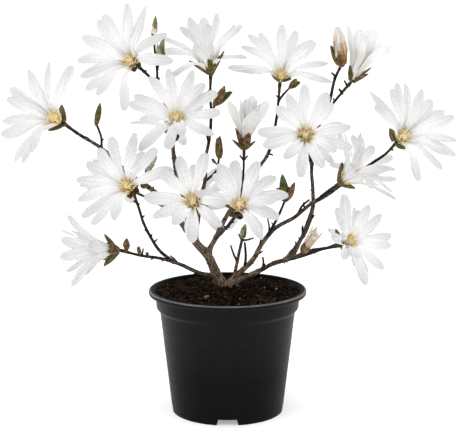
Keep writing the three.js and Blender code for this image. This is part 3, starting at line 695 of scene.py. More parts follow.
# Short dead stubs and side shoots: limb, share along it, how far the end lies (right, back, up), thickness
spurs = [
    ("trunk", 0.69, (-8, -2, 4), 2.6), ("top", 0.59, (-3, 0, 11), 2.2), ("low_left", 0.78, (2, -2, 9), 2.0),
    ("low_left", 0.88, (-7, 2, 4), 1.8), ("low_left", 0.43, (-9, -2, 10), 1.8),
    ("right", 0.18, (0, -2, 32), 2.8), ("right", 0.25, (8, 2, 9), 2.2),
    ("low_right", 0.32, (0, -2, 15), 2.4), ("right", 0.43, (-1, 0, 20), 2.0),
    ("right", 0.65, (14, -2, 19), 2.4), ("right", 0.71, (-2, -2, 8), 1.8),
    ("upper_right", 0.23, (5, 0, 7), 2.4), ("upper_right", 0.15, (-1, -2, 12), 2.4),
    ("right", 0.34, (1, -2, 9), 2.2), ("right", 0.29, (8, 0, 4), 2.0), ("middle", 0.62, (4, 0, 6), 2.6),
    ("middle", 0.62, (6, 0, -2), 2.0), ("half_open", 0.78, (-5, 0, 6), 2.0),
    ("half_open", 0.78, (5, 0, 5), 2.0), ("upper_right", 0.93, (-4, 0, 4), 2.4),
    ("bud_near_top_right", 0.72, (-5, 0, 5), 2.2), ("upper_right", 0.97, (-4, 0, 7), 2.0),
    ("high_left", 0.84, (4, 0, 9), 2.2), ("far_left", 0.8, (-5, 0, 5), 2.0),
    ("left", 0.83, (-4, 0, 3), 2.2), ("left", 0.66, (3, 0, 3), 1.8), ("left", 0.46, (-4, 0, 4), 2.0),
    ("left", 0.32, (4, 0, 4), 1.8), ("bud_low", 0.92, (14, 0, 3), 2.2), ("bud_low", 0.92, (-4, 0, 8), 2.0),
    ("bud_low", 0.4, (-8, -1, 20), 2.4),
]


# Side shoots that end in a small bud: the same, then the way the bud points, its size and its coat
shoots = [
    ("bud_high_left", 0.34, (3, 0, 8), 2.0, (30, 76), 33, 9.5, "pale"),
    ("middle", 0.90, (14, -6, 17), 2.4, (60, 42), 15, 8, "twin"),
    ("low_left", 0.93, (1, -3, 3), 2.6, (10, 84), 15, 8, "closed"),
    ("low_left", 0.79, (-1, -2, 3), 2.0, (-40, 74), 10, 4.6, "closed"),
    ("low_left", 0.73, (1, -2, 2), 1.6, (-40, 60), 5, 3, "closed"),
    ("far_left", 0.36, (-2, -14, 5), 3.4, (-50, 10), 8, 10, "cup"),
    ("left", 0.97, (16, -10, 26), 1.8, (90, 54), 22, 8, "pale"),
    ("bud_inner", 0.72, (-4, -1, 3), 1.8, (-70, 56), 7, 3.4, "closed"),
]


def sideways(heading):
    helper = np.array([1.0, 0, 0]) if abs(heading[2]) > 0.8 else np.array([0, 0, 1.0])
    return unit(np.cross(helper, heading))


def woodTube(heap, route, radiusAt, looksAt, sides, step, seed, flare):
    # a tube with leaf-scar rings, ridges and small lumps, and a straightened position for the bark's grain
    dice = makeDice(bark["seed"] + seed)
    shares = np.linspace(0, 1, max(3, round(route.length / step)) + 1)
    centres, headings = route.share(shares), route.heading(shares)
    nodesAt, place = [], dice(4, 12)
    while place < route.length - 3:
        nodesAt.append((place, dice(0, 2 * pi)))
        place += dice(*bark["nodeGap"])
    turns = roundTurns(sides)
    side = sideways(headings[0])
    rings, marks, looks = [], [], []
    for share, centre, run in zip(shares, centres, headings):
        side = unit(side - run * float(side @ run))
        other = np.cross(run, side)
        along = share * route.length
        r = float(radiusAt(share))
        r += r * flare * exp(-along / (r * 1.3))
        swell = np.zeros(sides)
        for where, turn in nodesAt:
            if abs(along - where) < 4:
                ringed = bark["nodeSwell"] * exp(-((along - where) / 1.1) ** 2)
                swell = swell + ringed * (0.55 + 0.45 * np.cos(turns - turn))
        ring, mark = [], []
        for turn, bulge in zip(turns, swell):
            cx, cy = cos(turn), sin(turn)
            spot = Vector((cx * r * 0.55 + seed, cy * r * 0.55, along * 0.16))
            grain = (noise.noise(spot) + noise.noise(spot * 2.7) * 0.6) * bark["reliefShare"]
            rough = r * (1 + grain + bulge)
            ring.append(centre + side * cx * rough + other * cy * rough)
            mark.append((cx * r + 31.7 * seed, cy * r, along))
        rings.append(ring)
        marks.append(mark)
        looks.append(looksAt(r + lump(along * 0.3, seed, 0) * bark["unevenLook"], share))
    tip = centres[-1] + headings[-1] * float(radiusAt(1.0)) * 0.5
    heap.tube(rings, looks[1:], tip=tip, marks=np.array(marks))
    return nodesAt


def spindle(heap, foot, heading, length, radius, look, profile, sides=8):
    # a small bud or bead: sections as shares of its length and radius
    side = sideways(heading)
    other = np.cross(heading, side)
    rings = [[foot + heading * length * share + (side * cos(t) + other * sin(t)) * radius * girth
              for t in roundTurns(sides)] for share, girth in profile[:-1]]
    heap.tube(rings, look, tip=foot + heading * length * profile[-1][0])


def woodLook(radius):
    return 0 if radius > bark["oldRadius"] else 1 if radius > bark["midRadius"] else 2


def addCollar(heap):
    # the flared foot that all the stems rise from
    c = bark["collar"]
    rings = []
    for up, share in c["sections"]:
        z = c["foot"] + up * c["height"]
        ring = []
        for t in roundTurns(c["around"]):
            lobe = 1 + c["lobeDepth"] * cos(c["lobes"] * t) * (1 - up)
            uneven = 1 + 0.07 * lump(cos(t) * 2, sin(t) * 2, z * 0.2)
            r = c["radius"] * share * lobe * uneven
            ring.append((c["x"] + r * cos(t), c["y"] + r * sin(t) * c["depth"], z))
        rings.append(ring)
    heap.tube(rings)


def addRestingBuds(heap, limb, nodesAt, dice):
    # small buds above some of the leaf scars
    route, resting = limb["route"], bark["restingBud"]
    for where, _ in nodesAt:
        share = where / route.length
        r = float(limbRadius(limb, share))
        if (r > resting["thickest"] or min(where, route.length - where) < resting["clear"]
                or dice() < resting["missing"]):
            continue
        heading = route.heading(share)
        side = sideways(heading)
        out = turnAbout(side, np.cross(heading, side), dice(0, 2 * pi))
        spindle(heap, route.share(share) + out * r * 0.75, unit(heading * 0.75 + out),
                dice(*resting["length"]), dice(*resting["radius"]), 2, resting["profile"])


def makeWood(grown):
    heap = Heap()
    addCollar(heap)
    woodTube(heap, trunkLimb["route"], lambda share: limbRadius(trunkLimb, share),
             lambda r, share: woodLook(r), sides=24, step=1.3, seed=1, flare=0.35)
    for index, limb in enumerate(limbs):

        def radiusAt(share, limb=limb):
            left = (1 - share) * limb["route"].length
            swell = 0.22
            if "bloom" in limb:  # the flower stalk thickens under its cup
                swell = 0.8 * exp(-((left - 4) / 5) ** 2) + 0.4 * exp(-((left - 12) / 1.5) ** 2)
            return limbRadius(limb, share) + swell

        def lookAt(radius, share, limb=limb):
            left = (1 - share) * limb["route"].length
            if "bloom" in limb and left < bark["stalk"]:
                return 3
            return woodLook(radius + limb.get("aged", bark["younger"] if left < bark["youngEnd"] else 0))

        sides = bark["sides"] + (4 if limb["thick"][0] > bark["thickFoot"] else 0)
        nodesAt = woodTube(heap, limb["route"], radiusAt, lookAt, sides, bark["step"], index + 2,
                           bark["flare"])
        addRestingBuds(heap, limb, nodesAt, makeDice(bark["budSeed"] + index))
    for index, (name, at, reach, thick) in enumerate(spurs + [shoot[:4] for shoot in shoots]):
        foot, reach = grown[name]["route"].share(at), np.array(reach, float)
        dice = makeDice(bark["shootSeed"] + index)
        bow = np.array([dice(-1, 1) for _ in range(3)]) * np.linalg.norm(reach) * 0.07
        look = 1 if name in ("trunk", "bud_low") else 2
        woodTube(heap, Route([foot, foot + reach * 0.5 + bow, foot + reach]),
                 lambda share, thick=thick: thick * (1.32 - 0.36 * share) / 2,
                 lambda r, share, look=look: look, sides=10, step=1.0, seed=bark["firstShoot"] + index,
                 flare=0.45)

    twigs = heap.build("bark", materialSet([
        ("bark_old", [(0.020, 0.012, 0.007), (0.130, 0.088, 0.055), (0.39, 0.305, 0.22)],
         dict(places=(0.34, 0.48, 0.68), grain=0.55, stretch=(1, 1, 0.32), rough=(0.62, 0.85), gloss=0.2,
              bumps=((1.6, 0.9, 0.0012), (5.0, 0.6, 0.0005)), dots=(0.36, 0.16, (0.33, 0.27, 0.2)))),
        ("bark_middle", [(0.009, 0.006, 0.004), (0.052, 0.036, 0.026), (0.24, 0.19, 0.15)],
         dict(places=(0.34, 0.5, 0.68), grain=0.8, stretch=(1, 1, 0.3), rough=(0.55, 0.8), gloss=0.15,
              bumps=((2.2, 0.8, 0.0009), (6.0, 0.5, 0.0003)), dots=(0.45, 0.15, (0.27, 0.22, 0.17)))),
        ("bark_young", [(0.004, 0.003, 0.0025), (0.014, 0.009, 0.007), (0.075, 0.056, 0.044)],
         dict(places=(0.34, 0.54, 0.74), grain=1.0, stretch=(1, 1, 0.35), rough=(0.5, 0.75), gloss=0.12,
              bumps=((3.0, 0.5, 0.0005), (8.0, 0.4, 0.0002)), dots=(0.6, 0.14, (0.2, 0.165, 0.13)))),
        ("flower_stalk", [(0.011, 0.008, 0.003), (0.038, 0.028, 0.010), (0.12, 0.096, 0.040)],
         dict(places=(0.34, 0.52, 0.74), grain=1.2, stretch=(1, 1, 0.5), rough=(0.7, 0.9), gloss=0.15,
              bumps=((6.0, 0.6, 0.0004),), shader={"Sheen Weight": 0.08})),
    ], coords="grain"), sharpAngle=70, markName="grain")
    boughs = [f"bough_{limb['name']}" for limb in limbs if not ("bud" in limb or limb.get("short"))]
    dress(twigs, ["trunk", *boughs, *map(massNode, limbs)])


def massNode(limb):
    return f"bloom_{limb['name']}" if "bloom" in limb else limb["name"]


blossom = {
    "whorls": 3, "rootHeight": (6.4, 9.2, 12), "rootRadius": (3.9, 3, 2.1), "whorlLength": (1, 0.97, 0.92),
    "tepalLength": 0.565, "tepalWidth": 0.148, "cup": 0.34, "bendEnd": 0.45, "lineSteps": 50,
    "refits": (0, -12, 12, -24), "fitGap": 0.6,
}

tepal = {
    "rows": 22, "columns": 10, "rootWidth": 0.24, "widest": (0.58, 0.78), "tipRound": (1.6, 2.9),
    "thickness": 0.5, "gutter": 0.15, "ripple": 0.06, "widthShare": 0.90, "closedWidth": 1.4,
    "waves": ((5, 10), (0, 6.28), (0.4, 1.0)),  # how fast, from where and how high the margins wave
    "folds": 0.034, "foldPace": (2.4, 3.4), "foldShift": 0.25, "deepFold": -0.35,
    "seed": 4000, "budSeed": 4060,
    "broad": {"front_left": 1.14, "centre": 1.02, "upper_middle": 1.04, "far_left": 0.9, "high_left": 0.95,
              "far_right": 0.86, "middle": 0.84, "top": 0.92, "left": 0.96},  # wider or slimmer in these
    "turned": {"upper_right": {6: -62, 7: 72}, "top": {1: 50, 6: -48, 8: 46}},  # some tepals twist more
    "footHeight": 5.6, "footRadius": 3.9, "footReach": 0.42, "footBulge": 2.6,
    "bands": (0.09, 0.17, 0.28, 0.40, 0.52, 0.63, 0.73, 0.82, 0.91),  # where a dealt colour ends
    "open": (0, 1, 2, 3, 4, 5, 6, 7, 8, 9), "closed": (10, 12, 12, 12, 12, 2, 2, 3, 4, 5),  # foot to tip
    # the whites step greyer towards the tip as painted shade
    "whites": (0.975, 0.95, 0.905, 0.84, 0.765, 0.695, 0.635, 0.59),
}

scale = {
    "length": 21, "width": 7.4, "rootHeight": 3.4, "rootRadius": 3, "cup": 0.8, "spread": 28,
    "spreadPerOpen": 0.35, "turnStep": 200, "rows": 12, "columns": 8, "visualWidth": 1.25, "depth": 0.42,
    "point": 1.35,
}


def bladeLine(joint, look, blade):
    axis, right, up = look
    steps = blossom["lineSteps"]
    share = np.arange(steps + 1) / steps
    bent = smooth(share, 0, blossom["bendEnd"])
    curled = np.maximum(0, (share - blossom["bendEnd"]) / (1 - blossom["bendEnd"]))
    opened = blade["spread"] * (blade["cup"] + (1 - blade["cup"]) * bent)
    spread = np.radians(opened + blade["curl"] * curled ** 2)
    angle = np.radians(blade["angle"] + blade["sway"] * share ** 2)
    out = turnAbout(right, up, angle)
    along = np.cos(spread)[:, None] * axis + np.sin(spread)[:, None] * out
    start = joint + axis * blade["rootHeight"] + out[0] * blade["rootRadius"]
    place = start + np.vstack([np.zeros(3), np.cumsum(along[1:] * blade["length"] / steps, axis=0)])
    flat = np.cross(axis, out)
    inner = np.cross(along, flat)
    twist = np.radians(blade["twist"] * share ** 2)
    wide = turnAbout(flat, inner, twist)
    return {"share": share, "place": place, "wide": wide, "inner": turnAbout(inner, flat, -twist)}


def atShares(line, shares):
    return [np.stack([np.interp(shares, line["share"], line[key][:, k]) for k in range(3)], axis=1)
            for key in ("place", "wide", "inner")]


def bloomBlades(bloom):
    dice = makeDice(bloom["seed"])
    long = bloom["across"] * blossom["tepalLength"]
    blades = []
    for k in range(bloom["count"]):
        whorl = k % blossom["whorls"]
        parts = bloom["count"] - 1 if bloom["gap"] else bloom["count"]
        angle = bloom["roll"] + bloom["gap"] / 2 + (360 - bloom["gap"]) * k / parts + dice(-6, 6)
        toSide = max(0.0, cos(radians(angle - bloom["side"])))
        spread = bloom["open"] * (1 - bloom["nest"] * whorl) * (1 - bloom["shut"] * toSide)
        blades.append({
            "angle": angle, "spread": spread + dice(-6, 6), "curl": dice(-8, 24) * min(1, bloom["open"] / 60),
            "sway": dice(-9, 9), "twist": dice(-26, 26),
            "length": long * blossom["whorlLength"][whorl] * dice(0.95, 1.04),
            "width": bloom["across"] * blossom["tepalWidth"] * dice(0.9, 1.08),
            "rootHeight": blossom["rootHeight"][whorl], "rootRadius": blossom["rootRadius"][whorl],
            "cup": blossom["cup"], "whorl": whorl,
        })
    return blades


def plainBlade(angle, spread, length, width, root, rise, cup, curl=0):
    return {"angle": angle, "spread": spread, "curl": curl, "sway": 0, "twist": 0, "length": length,
            "width": width, "rootHeight": rise, "rootRadius": root, "cup": cup}


def bloomScales(bloom):
    dice = makeDice(bloom["seed"] + 1)
    spread = scale["spread"] + bloom["open"] * scale["spreadPerOpen"]
    return [plainBlade(bloom["roll"] + scale["turnStep"] * k + dice(-30, 30), spread + dice(-6, 6),
                       scale["length"] * dice(0.9, 1.15), scale["width"], scale["rootRadius"],
                       scale["rootHeight"], scale["cup"]) for k in range(2)]


def fittedLine(joint, look, blade, corners):
    # the solids' own tepals were shut or opened a little where they touched: this finds which
    for more in blossom["refits"]:
        line = bladeLine(joint, look, {**blade, "spread": blade["spread"] + more})
        if np.min(np.linalg.norm(corners - line["place"][-1], axis=1)) < blossom["fitGap"]:
            return line
    return None


def seated(line, joint, look, blade, opening):
    # brings the foot of a tepal down onto the cup, clear of the stamens
    out = turnAbout(look[1], look[2], np.radians(blade["angle"]))
    foot = joint + look[0] * tepal["footHeight"] + out * tepal["footRadius"]
    left = 1 - smooth(line["share"], 0, tepal["footReach"])
    along = np.clip(line["share"] / tepal["footReach"], 0, 1)
    bulge = np.sin(pi * along) * tepal["footBulge"] * min(1, opening / 80)
    return {**line, "place": line["place"] + left[:, None] * (foot - line["place"][0]) + bulge[:, None] * out}


def closedSheet(line, shares, aside, lift, thick, x):
    # a thin solid: a sheet bent out of the blade's line, thinner towards its margins
    place, wide, inner = atShares(line, shares)
    top = place[:, None] + wide[:, None] * aside[:, :, None] + inner[:, None] * lift[:, :, None]
    edge = np.sqrt(1 - x[1:-1] ** 2 * 0.9)
    under = top[:, 1:-1] - inner[:, None] * (thick * edge)[:, :, None]
    return np.concatenate([top, under[:, ::-1]], axis=1)


def addTepal(heap, line, blade, dice, looks, streaks=None):
    rows, columns = tepal["rows"], tepal["columns"]
    even = np.linspace(0, 1, rows + 1)
    shares = np.append((0.5 * np.sin(pi / 2 * even) + 0.5 * even)[:-1], 0.994)
    widest, tipPower = dice(*tepal["widest"]), dice(*tepal["tipRound"])
    widest *= blade.get("early", 1)
    rise = np.sin(pi / 2 * np.clip(shares / widest, 0, 1)) ** 1.6
    rise = tepal["rootWidth"] + (1 - tepal["rootWidth"]) * rise
    fall = 1 - np.clip((shares - widest) / (1 - widest), 0, 1) ** tipPower
    full = blade["width"]
    half = full / 2 * tepal["widthShare"] * blade.get("broad", 1) * rise * fall ** blade.get("point", 0.5)
    x = np.linspace(-1, 1, columns + 1)
    # gutter at the foot, flatter towards the tip, with soft waves along each margin
    gutter = tepal["gutter"] * (1.5 - 1.35 * smooth(shares, 0.05, 0.8))
    gutter += dice(-0.03, 0.05) - dice(0, 0.16) * smooth(shares, 0.6, 1)
    paces, starts, heights = ([dice(*span) for _ in range(2)] for span in tepal["waves"])
    lift = gutter[:, None] * full * (x ** 2 - 0.35)
    grow = smooth(shares, 0.15, 0.7)
    for side, pace, start, height in zip((-x, x), paces, starts, heights):
        wave = np.sin(shares * pace + start) * height * grow
        lift += tepal["ripple"] * full * np.clip(side, 0, 1) ** 1.6 * wave[:, None]
    # two or three long grooves, each strongest somewhere along the tepal
    groove = dice(-tepal["foldShift"], tepal["foldShift"])
    folds = np.cos((x + groove * (0.6 + 0.4 * shares[:, None])) * pi * dice(*tepal["foldPace"]))
    depth = tepal["folds"] * full * smooth(shares, 0.06, 0.3) * (1 - 0.6 * smooth(shares, 0.8, 1))
    lift += folds * depth[:, None]
    bow = dice(-0.05, 0.05) * full * np.sin(shares * dice(4, 7))
    margin = 1 + 0.05 * np.sin(shares * dice(14, 22) + dice(0, 6)) * grow
    thick = tepal["thickness"] * (1.6 - 1.1 * smooth(shares, 0, 0.5))
    rings = closedSheet(line, shares, (half * margin)[:, None] * x + bow[:, None], lift, thick[:, None], x)
    sheet = np.empty((rows + 1, columns + 1, 3))
    sheet[:, :, 0], sheet[:, :, 1] = x * full / 2, (shares * blade["length"])[:, None]
    sheet[:, :, 2] = dice(0, 500)
    marks = np.concatenate([sheet, sheet[:, 1:-1][:, ::-1] + [0, 0, 9]], axis=1)
    # colours dealt along the tepal, a little unevenly from column to column: whites painted greyer towards
    # the tip as shade, and a step greyer still in the folds and along the margins as painted shade
    uneven = [dice(-0.035, 0.035) for _ in range(columns)]
    middle = (shares[1:] + shares[:-1]) / 2
    bands = np.searchsorted(tepal["bands"], middle[:, None] + (uneven + uneven[::-1]))
    grid = np.asarray(looks)[bands]
    # faces in the deepest folds and along the margins: on bud petals they take coloured streaks, otherwise
    # one step greyer as painted shade
    foldShadeAndStreaks = np.where((folds[1:, 1:] + folds[:-1, :-1]) / 2 < tepal["deepFold"], 1, 0)
    foldShadeAndStreaks[:, [0, -1]] = 1
    foldShadeAndStreaks = np.concatenate([foldShadeAndStreaks, foldShadeAndStreaks[:, ::-1]], axis=1)
    if blade.get("inside"):  # in a cup the inner faces are dealt brighter whites, painted light against the shade inside the cup
        grid[:, :columns] = np.where(grid[:, :columns] < 10, np.minimum(grid[:, :columns], 2), 12)
    if streaks:
        grid = np.where(foldShadeAndStreaks > 0, np.asarray(streaks)[bands], grid)
    else:
        grid = np.where((grid > 1) & (grid < 10), np.minimum(grid + foldShadeAndStreaks, 9), grid)
    tip = atShares(line, shares)[0][-2:]
    heap.tube(rings, grid, tip=tip[1] + (tip[1] - tip[0]) * 0.02, marks=marks)


# The bud scales that stay under some of the flowers: (angle, spread, length share, width share, set back)
flowerScales = {
    "far_left": [(92, 58, 0.95, 1.25, 9), (-118, 44, 0.95, 1.3, 9), (-20, 66, 0.6, 1, 5),
                 (160, 50, 0.5, 1, 4)],
    "high_left": [(-58, 52, 0.75, 1.2, 2), (-20, 60, 0.6, 1.2, 2), (140, 60, 0.7, 1, 0)],
    "left": [(-62, 50, 0.8, 1.2, 2), (-20, 62, 0.7, 1.2, 2), (170, 60, 0.7, 1, 0)],
    "upper_left": [(-62, 58, 0.85, 1, 0), (-150, 60, 0.8, 1, 0)],
    "front_left": [(-150, 66, 0.9, 1, 0), (-112, 66, 0.9, 1, 0), (-70, 66, 0.9, 1, 0)],
    "top": [(232, 42, 1.45, 1.2, 3), (316, 22, 1.2, 1.4, 5), (6, 40, 1.75, 1.15, 3), (110, 40, 0.9, 1, 0)],
    "upper_middle": [(-125, 66, 0.95, 1.1, 0), (-58, 66, 0.95, 1.1, 0)],
    "middle": [(-150, 36, 0.95, 1, 0), (-40, 46, 0.8, 1, 0)],
    "upper_right": [(244, 44, 1.1, 0.9, 3), (132, 26, 0.9, 1.0, 2), (300, 34, 1.35, 0.7, 3),
                    (60, 30, 0.8, 1, 0)],
    "far_right": [(100, 76, 0.8, 1.3, 10), (-60, 58, 0.6, 1.1, 9), (150, 56, 0.6, 1, 3),
                  (-140, 52, 0.7, 1, 3)],
    "right": [(92, 42, 1.15, 1.5, 3), (-86, 50, 0.85, 1.2, 3), (-20, 60, 0.8, 1, 2),
              (180, 50, 0.6, 1.2, 4)],
    "half_open": [(166, 27, 1.4, 1.1, 2), (176, 54, 1.05, 0.9, 3), (244, 22, 1.25, 1.25, 3),
                  (296, 40, 0.8, 0.8, 2)],
    "centre": [(-92, 50, 0.9, 1.7, 6), (-140, 56, 0.8, 1.5, 6), (-50, 52, 0.8, 1.5, 6)],
    "low_right": [(-110, 62, 0.9, 1, 0), (-76, 62, 0.9, 1, 0)],
    "low_left": [(84, 50, 1.1, 1.3, 0), (-70, 40, 1.2, 1.8, 3), (20, 40, 1.0, 1.7, 3),
                 (-130, 46, 1.0, 1.4, 2), (150, 34, 0.8, 1.6, 3), (-20, 26, 0.8, 1.7, 1)],
}


def addScale(heap, line, blade, outLook, inLook):
    # a boat-shaped bud scale, furry outside
    rows, columns = scale["rows"], scale["columns"]
    shares = np.append(np.linspace(0, 1, rows + 1)[:-1], 0.985)
    widening = 0.5 + 0.5 * np.sin(pi / 2 * np.clip(shares / 0.42, 0, 1))
    half = blade["width"] / 2 * scale["visualWidth"] * widening
    half *= (1 - np.clip((shares - 0.35) / 0.65, 0, 1) ** 2) ** (1 / scale["point"])
    x = np.linspace(-1, 1, columns + 1)
    depth = scale["depth"] * blade["width"] * (0.8 + 0.2 * np.sin(shares * pi)) * (half / half.max())
    keel = np.exp(-(x / 0.18) ** 2) * 0.25
    thick = (1.0 - 0.55 * shares)[:, None] + keel[1:-1]
    rings = closedSheet(line, shares, half[:, None] * x, depth[:, None] * (x ** 2 - 0.45), thick, x)
    looks = np.full((rows, 2 * columns), outLook)
    looks[:, :columns] = inLook
    heap.tube(rings, looks)


def strap(heap, foot, heading, bendTo, length, width, thick, look, tipLook, bend, rows=6, sides=6):
    # a stamen or style: a small strap that bends over towards a direction
    side = unit(np.cross(heading, bendTo))
    aside = unit(bendTo - heading * float(bendTo @ heading))
    place, rings, looks = np.array(foot, float), [], []
    for share in np.arange(rows + 1) / rows:
        run = turnAbout(heading, aside, radians(bend) * share)
        if share:
            place = place + run * length / rows
            looks.append(tipLook if share > 0.8 else look)
        face = np.cross(run, side)
        girth = (0.75 + 0.35 * sin(share * pi * 0.9)) * (1 if share < 0.99 else 0.55)
        rings.append([place + (side * cos(a) * width + face * sin(a) * thick) / 2 * girth
                      for a in roundTurns(sides)])
    heap.tube(rings, looks)


heart = {
    "stamens": 92, "narrowStamens": 28, "stamenLength": (9.6, 12.6), "stamenWidth": 1.8, "stamenThick": 0.8,
    "picks": (0.44, 0.77), "tipped": 0.55, "lean": (64, 54, 0.7), "narrowLean": 0.4, "shorter": 0.36,
    "stamenBend": (15, 50), "styles": 12, "styleLength": (2.6, 4.2), "styleWidth": 1.2, "styleThick": 1.1,
    "styleBend": (30, 70), "greenStyles": 0.7,
    "small": {"middle": 0.6, "upper_right": 0.7, "half_open": 0.7},
    "cup": [(0, 1.9), (1.2, 2.9), (2.4, 3.2), (3.6, 3.8), (5.2, 4.5), (7.0, 4.3), (9, 3.5), (11, 2.9),
            (13.5, 2.2), (15, 1.2)],
    "cupBands": (4.3, 7), "cupTop": 15.8,
}


def addHeart(heaps, joint, look, narrow, size, dice):
    axis, right, up = look
    rings = []
    for rise, radius in heart["cup"]:
        ring = []
        for t in roundTurns(18):
            uneven = 1 + 0.05 * lump(cos(t) * 2 + joint[0], sin(t) * 2, rise)
            ring.append(joint + axis * rise + (right * cos(t) + up * sin(t)) * radius * uneven)
        rings.append(ring)
    looks = np.searchsorted(heart["cupBands"], [rise for rise, _ in heart["cup"][1:]], side="right")
    heaps["cores"].tube(rings, looks, tip=joint + axis * heart["cupTop"])
    count = heart["narrowStamens"] if narrow else heart["stamens"]
    outward, drop, power = heart["lean"]
    for k in range(count):  # the outer ones lean out, the inner ones stand up and bend inwards
        share = (k + 0.5) / count
        out = turnAbout(right, up, radians(goldenTurn * k + dice(-9, 9)))
        lean = outward - drop * share ** power + dice(-8, 8)
        lean = radians(lean * (heart["narrowLean"] if narrow else 1))
        heading = axis * cos(lean) + out * sin(lean)
        foot = joint + axis * (7.0 + 5.6 * share) + out * (3.9 - 2.3 * share)
        stamenLook = pick(heart["picks"], dice)
        length = dice(*heart["stamenLength"]) * (1 - heart["shorter"] * share) * size
        bend = dice(*heart["stamenBend"])
        strap(heaps["stamens"], foot, heading, axis, length, heart["stamenWidth"], heart["stamenThick"],
              stamenLook, 3 if dice() < heart["tipped"] else 0, bend)
    for k in range(heart["styles"]):
        share = (k + 0.5) / heart["styles"]
        out = turnAbout(right, up, radians(goldenTurn * k + 40))
        heading = unit(axis * (0.7 + share) + out * (0.9 - 0.8 * share))
        foot = joint + axis * (11.5 + 3.6 * share) + out * (2.3 - 1.6 * share)
        length, styleLook = dice(*heart["styleLength"]), 0 if dice() < heart["greenStyles"] else 1
        strap(heaps["styles"], foot, heading, out, length, heart["styleWidth"], heart["styleThick"],
              styleLook, styleLook, dice(*heart["styleBend"]), rows=5, sides=5)


# The coats: the look and length share of the core, then each scale as
# (angle, spread, length share, width share, look outside, look inside)
coats = {
    "winged": (1, 0.62, [(120, 3, 1.04, 0.8, 3, 3), (-60, 6, 0.68, 1.5, 1, 3), (20, 24, 0.82, 1.25, 0, 1),
                         (178, 24, 0.56, 0.8, 1, 2)]),
    "twin": (3, 0.88, [(150, 5, 1.0, 1.3, 0, 2), (-40, 14, 0.92, 1.25, 3, 3), (60, 3, 0.8, 1.0, 1, 2)]),
    "closed": (1, 0.88, [(60, 1, 0.97, 1.05, 1, 2), (240, 2, 0.94, 1.05, 0, 2)]),
    "dark": (1, 0.88, [(60, 1, 1.0, 0.9, 1, 2), (250, 2, 0.94, 0.82, 0, 2)]),
    "slim": (1, 0.88, [(60, 1, 0.97, 0.78, 1, 2), (240, 2, 0.94, 0.78, 1, 2)]),
    "cup": (1, 0.88, [(40, 14, 1.0, 1.0, 1, 2), (160, 16, 0.9, 1.0, 0, 2), (280, 14, 0.95, 1.0, 1, 2)]),
    "pale": (5, 0.62, [(30, 3, 1.0, 0.95, 5, 5), (180, 8, 0.8, 0.9, 5, 5), (-60, 13, 0.5, 0.8, 1, 2)]),
    "tipped": (3, 1.04, [(20, 3, 0.58, 0.95, 4, 4), (200, 4, 0.55, 0.95, 4, 4), (110, 3, 0.32, 0.9, 0, 2),
                         (290, 3, 0.3, 0.9, 0, 2)]),
}

budLooks = {  # which coat each bud wears, or how it opens
    "bud_near_top_right": {
        "coat": "opening", "petals": 7, "splay": -4, "belly": -3.2, "wide": 0.98, "roll": 10, "lean": 190,
        "core": 0.5, "grow": 1.1, "streaks": (13, 13, 13, 13, 11, 11, 10, 10, 12, 5),
        "skins": [(13, 13, 13, 11, 10, 12, 3, 3, 4, 5), (13, 11, 11, 10, 12, 3, 2, 3, 4, 5),
                  (13, 13, 13, 11, 11, 11, 10, 12, 12, 4)],
        "scales": [(0.52, 15, 1), (0.48, 5, 0), (0.38, 6, 0)]},
    "bud_low_right": {
        "coat": "opening", "petals": 4, "splay": 8, "belly": 1.0, "wide": 0.9, "roll": 35, "lean": 150,
        "core": 0.3, "point": 1.2, "facing": (62, 56), "streaks": (13, 13, 13, 11, 11, 11, 14, 11, 11, 11),
        "skins": [(13, 13, 11, 14, 14, 14, 10, 14, 14, 11), (13, 11, 11, 14, 14, 10, 12, 10, 14, 14)],
        "scales": [(0.36, 14, 0), (0.40, 8, 0), (0.30, 10, 0)]},
    "bud_right": {"coat": "winged"},
    "bud_top": {"coat": "twin"},
    "bud_inner": {"coat": "dark", "stout": 1.3},
    "bud_high_left": {"coat": "tipped", "stout": 1.35, "grow": 1.2},
    "bud_far_left": {"coat": "slim"},
    "bud_low": {"coat": "pale"},
}
budShape = {
    "core": [(0, 0.5), (0.12, 0.8), (0.35, 0.92), (0.6, 0.78), (0.82, 0.4), (0.96, 0)],
    "foot": [(0, 0.7), (0.3, 1.0), (0.7, 1.0), (1, 0.6)],
    "coreRadius": 0.42, "footRadius": 0.26, "footLength": 5.0, "footDrop": 2.4,
    "petalRoot": 0.25, "petalLength": (0.84, 1.0), "early": 0.6, "point": 0.8,
    "scaleStep": -128, "scaleWidth": 0.72, "scaleRoot": 0.22, "scaleCup": 2.0,
    "coatLength": 0.97, "coatWidth": 0.85, "coatRoot": 0.13, "coatCup": 1.9,
}


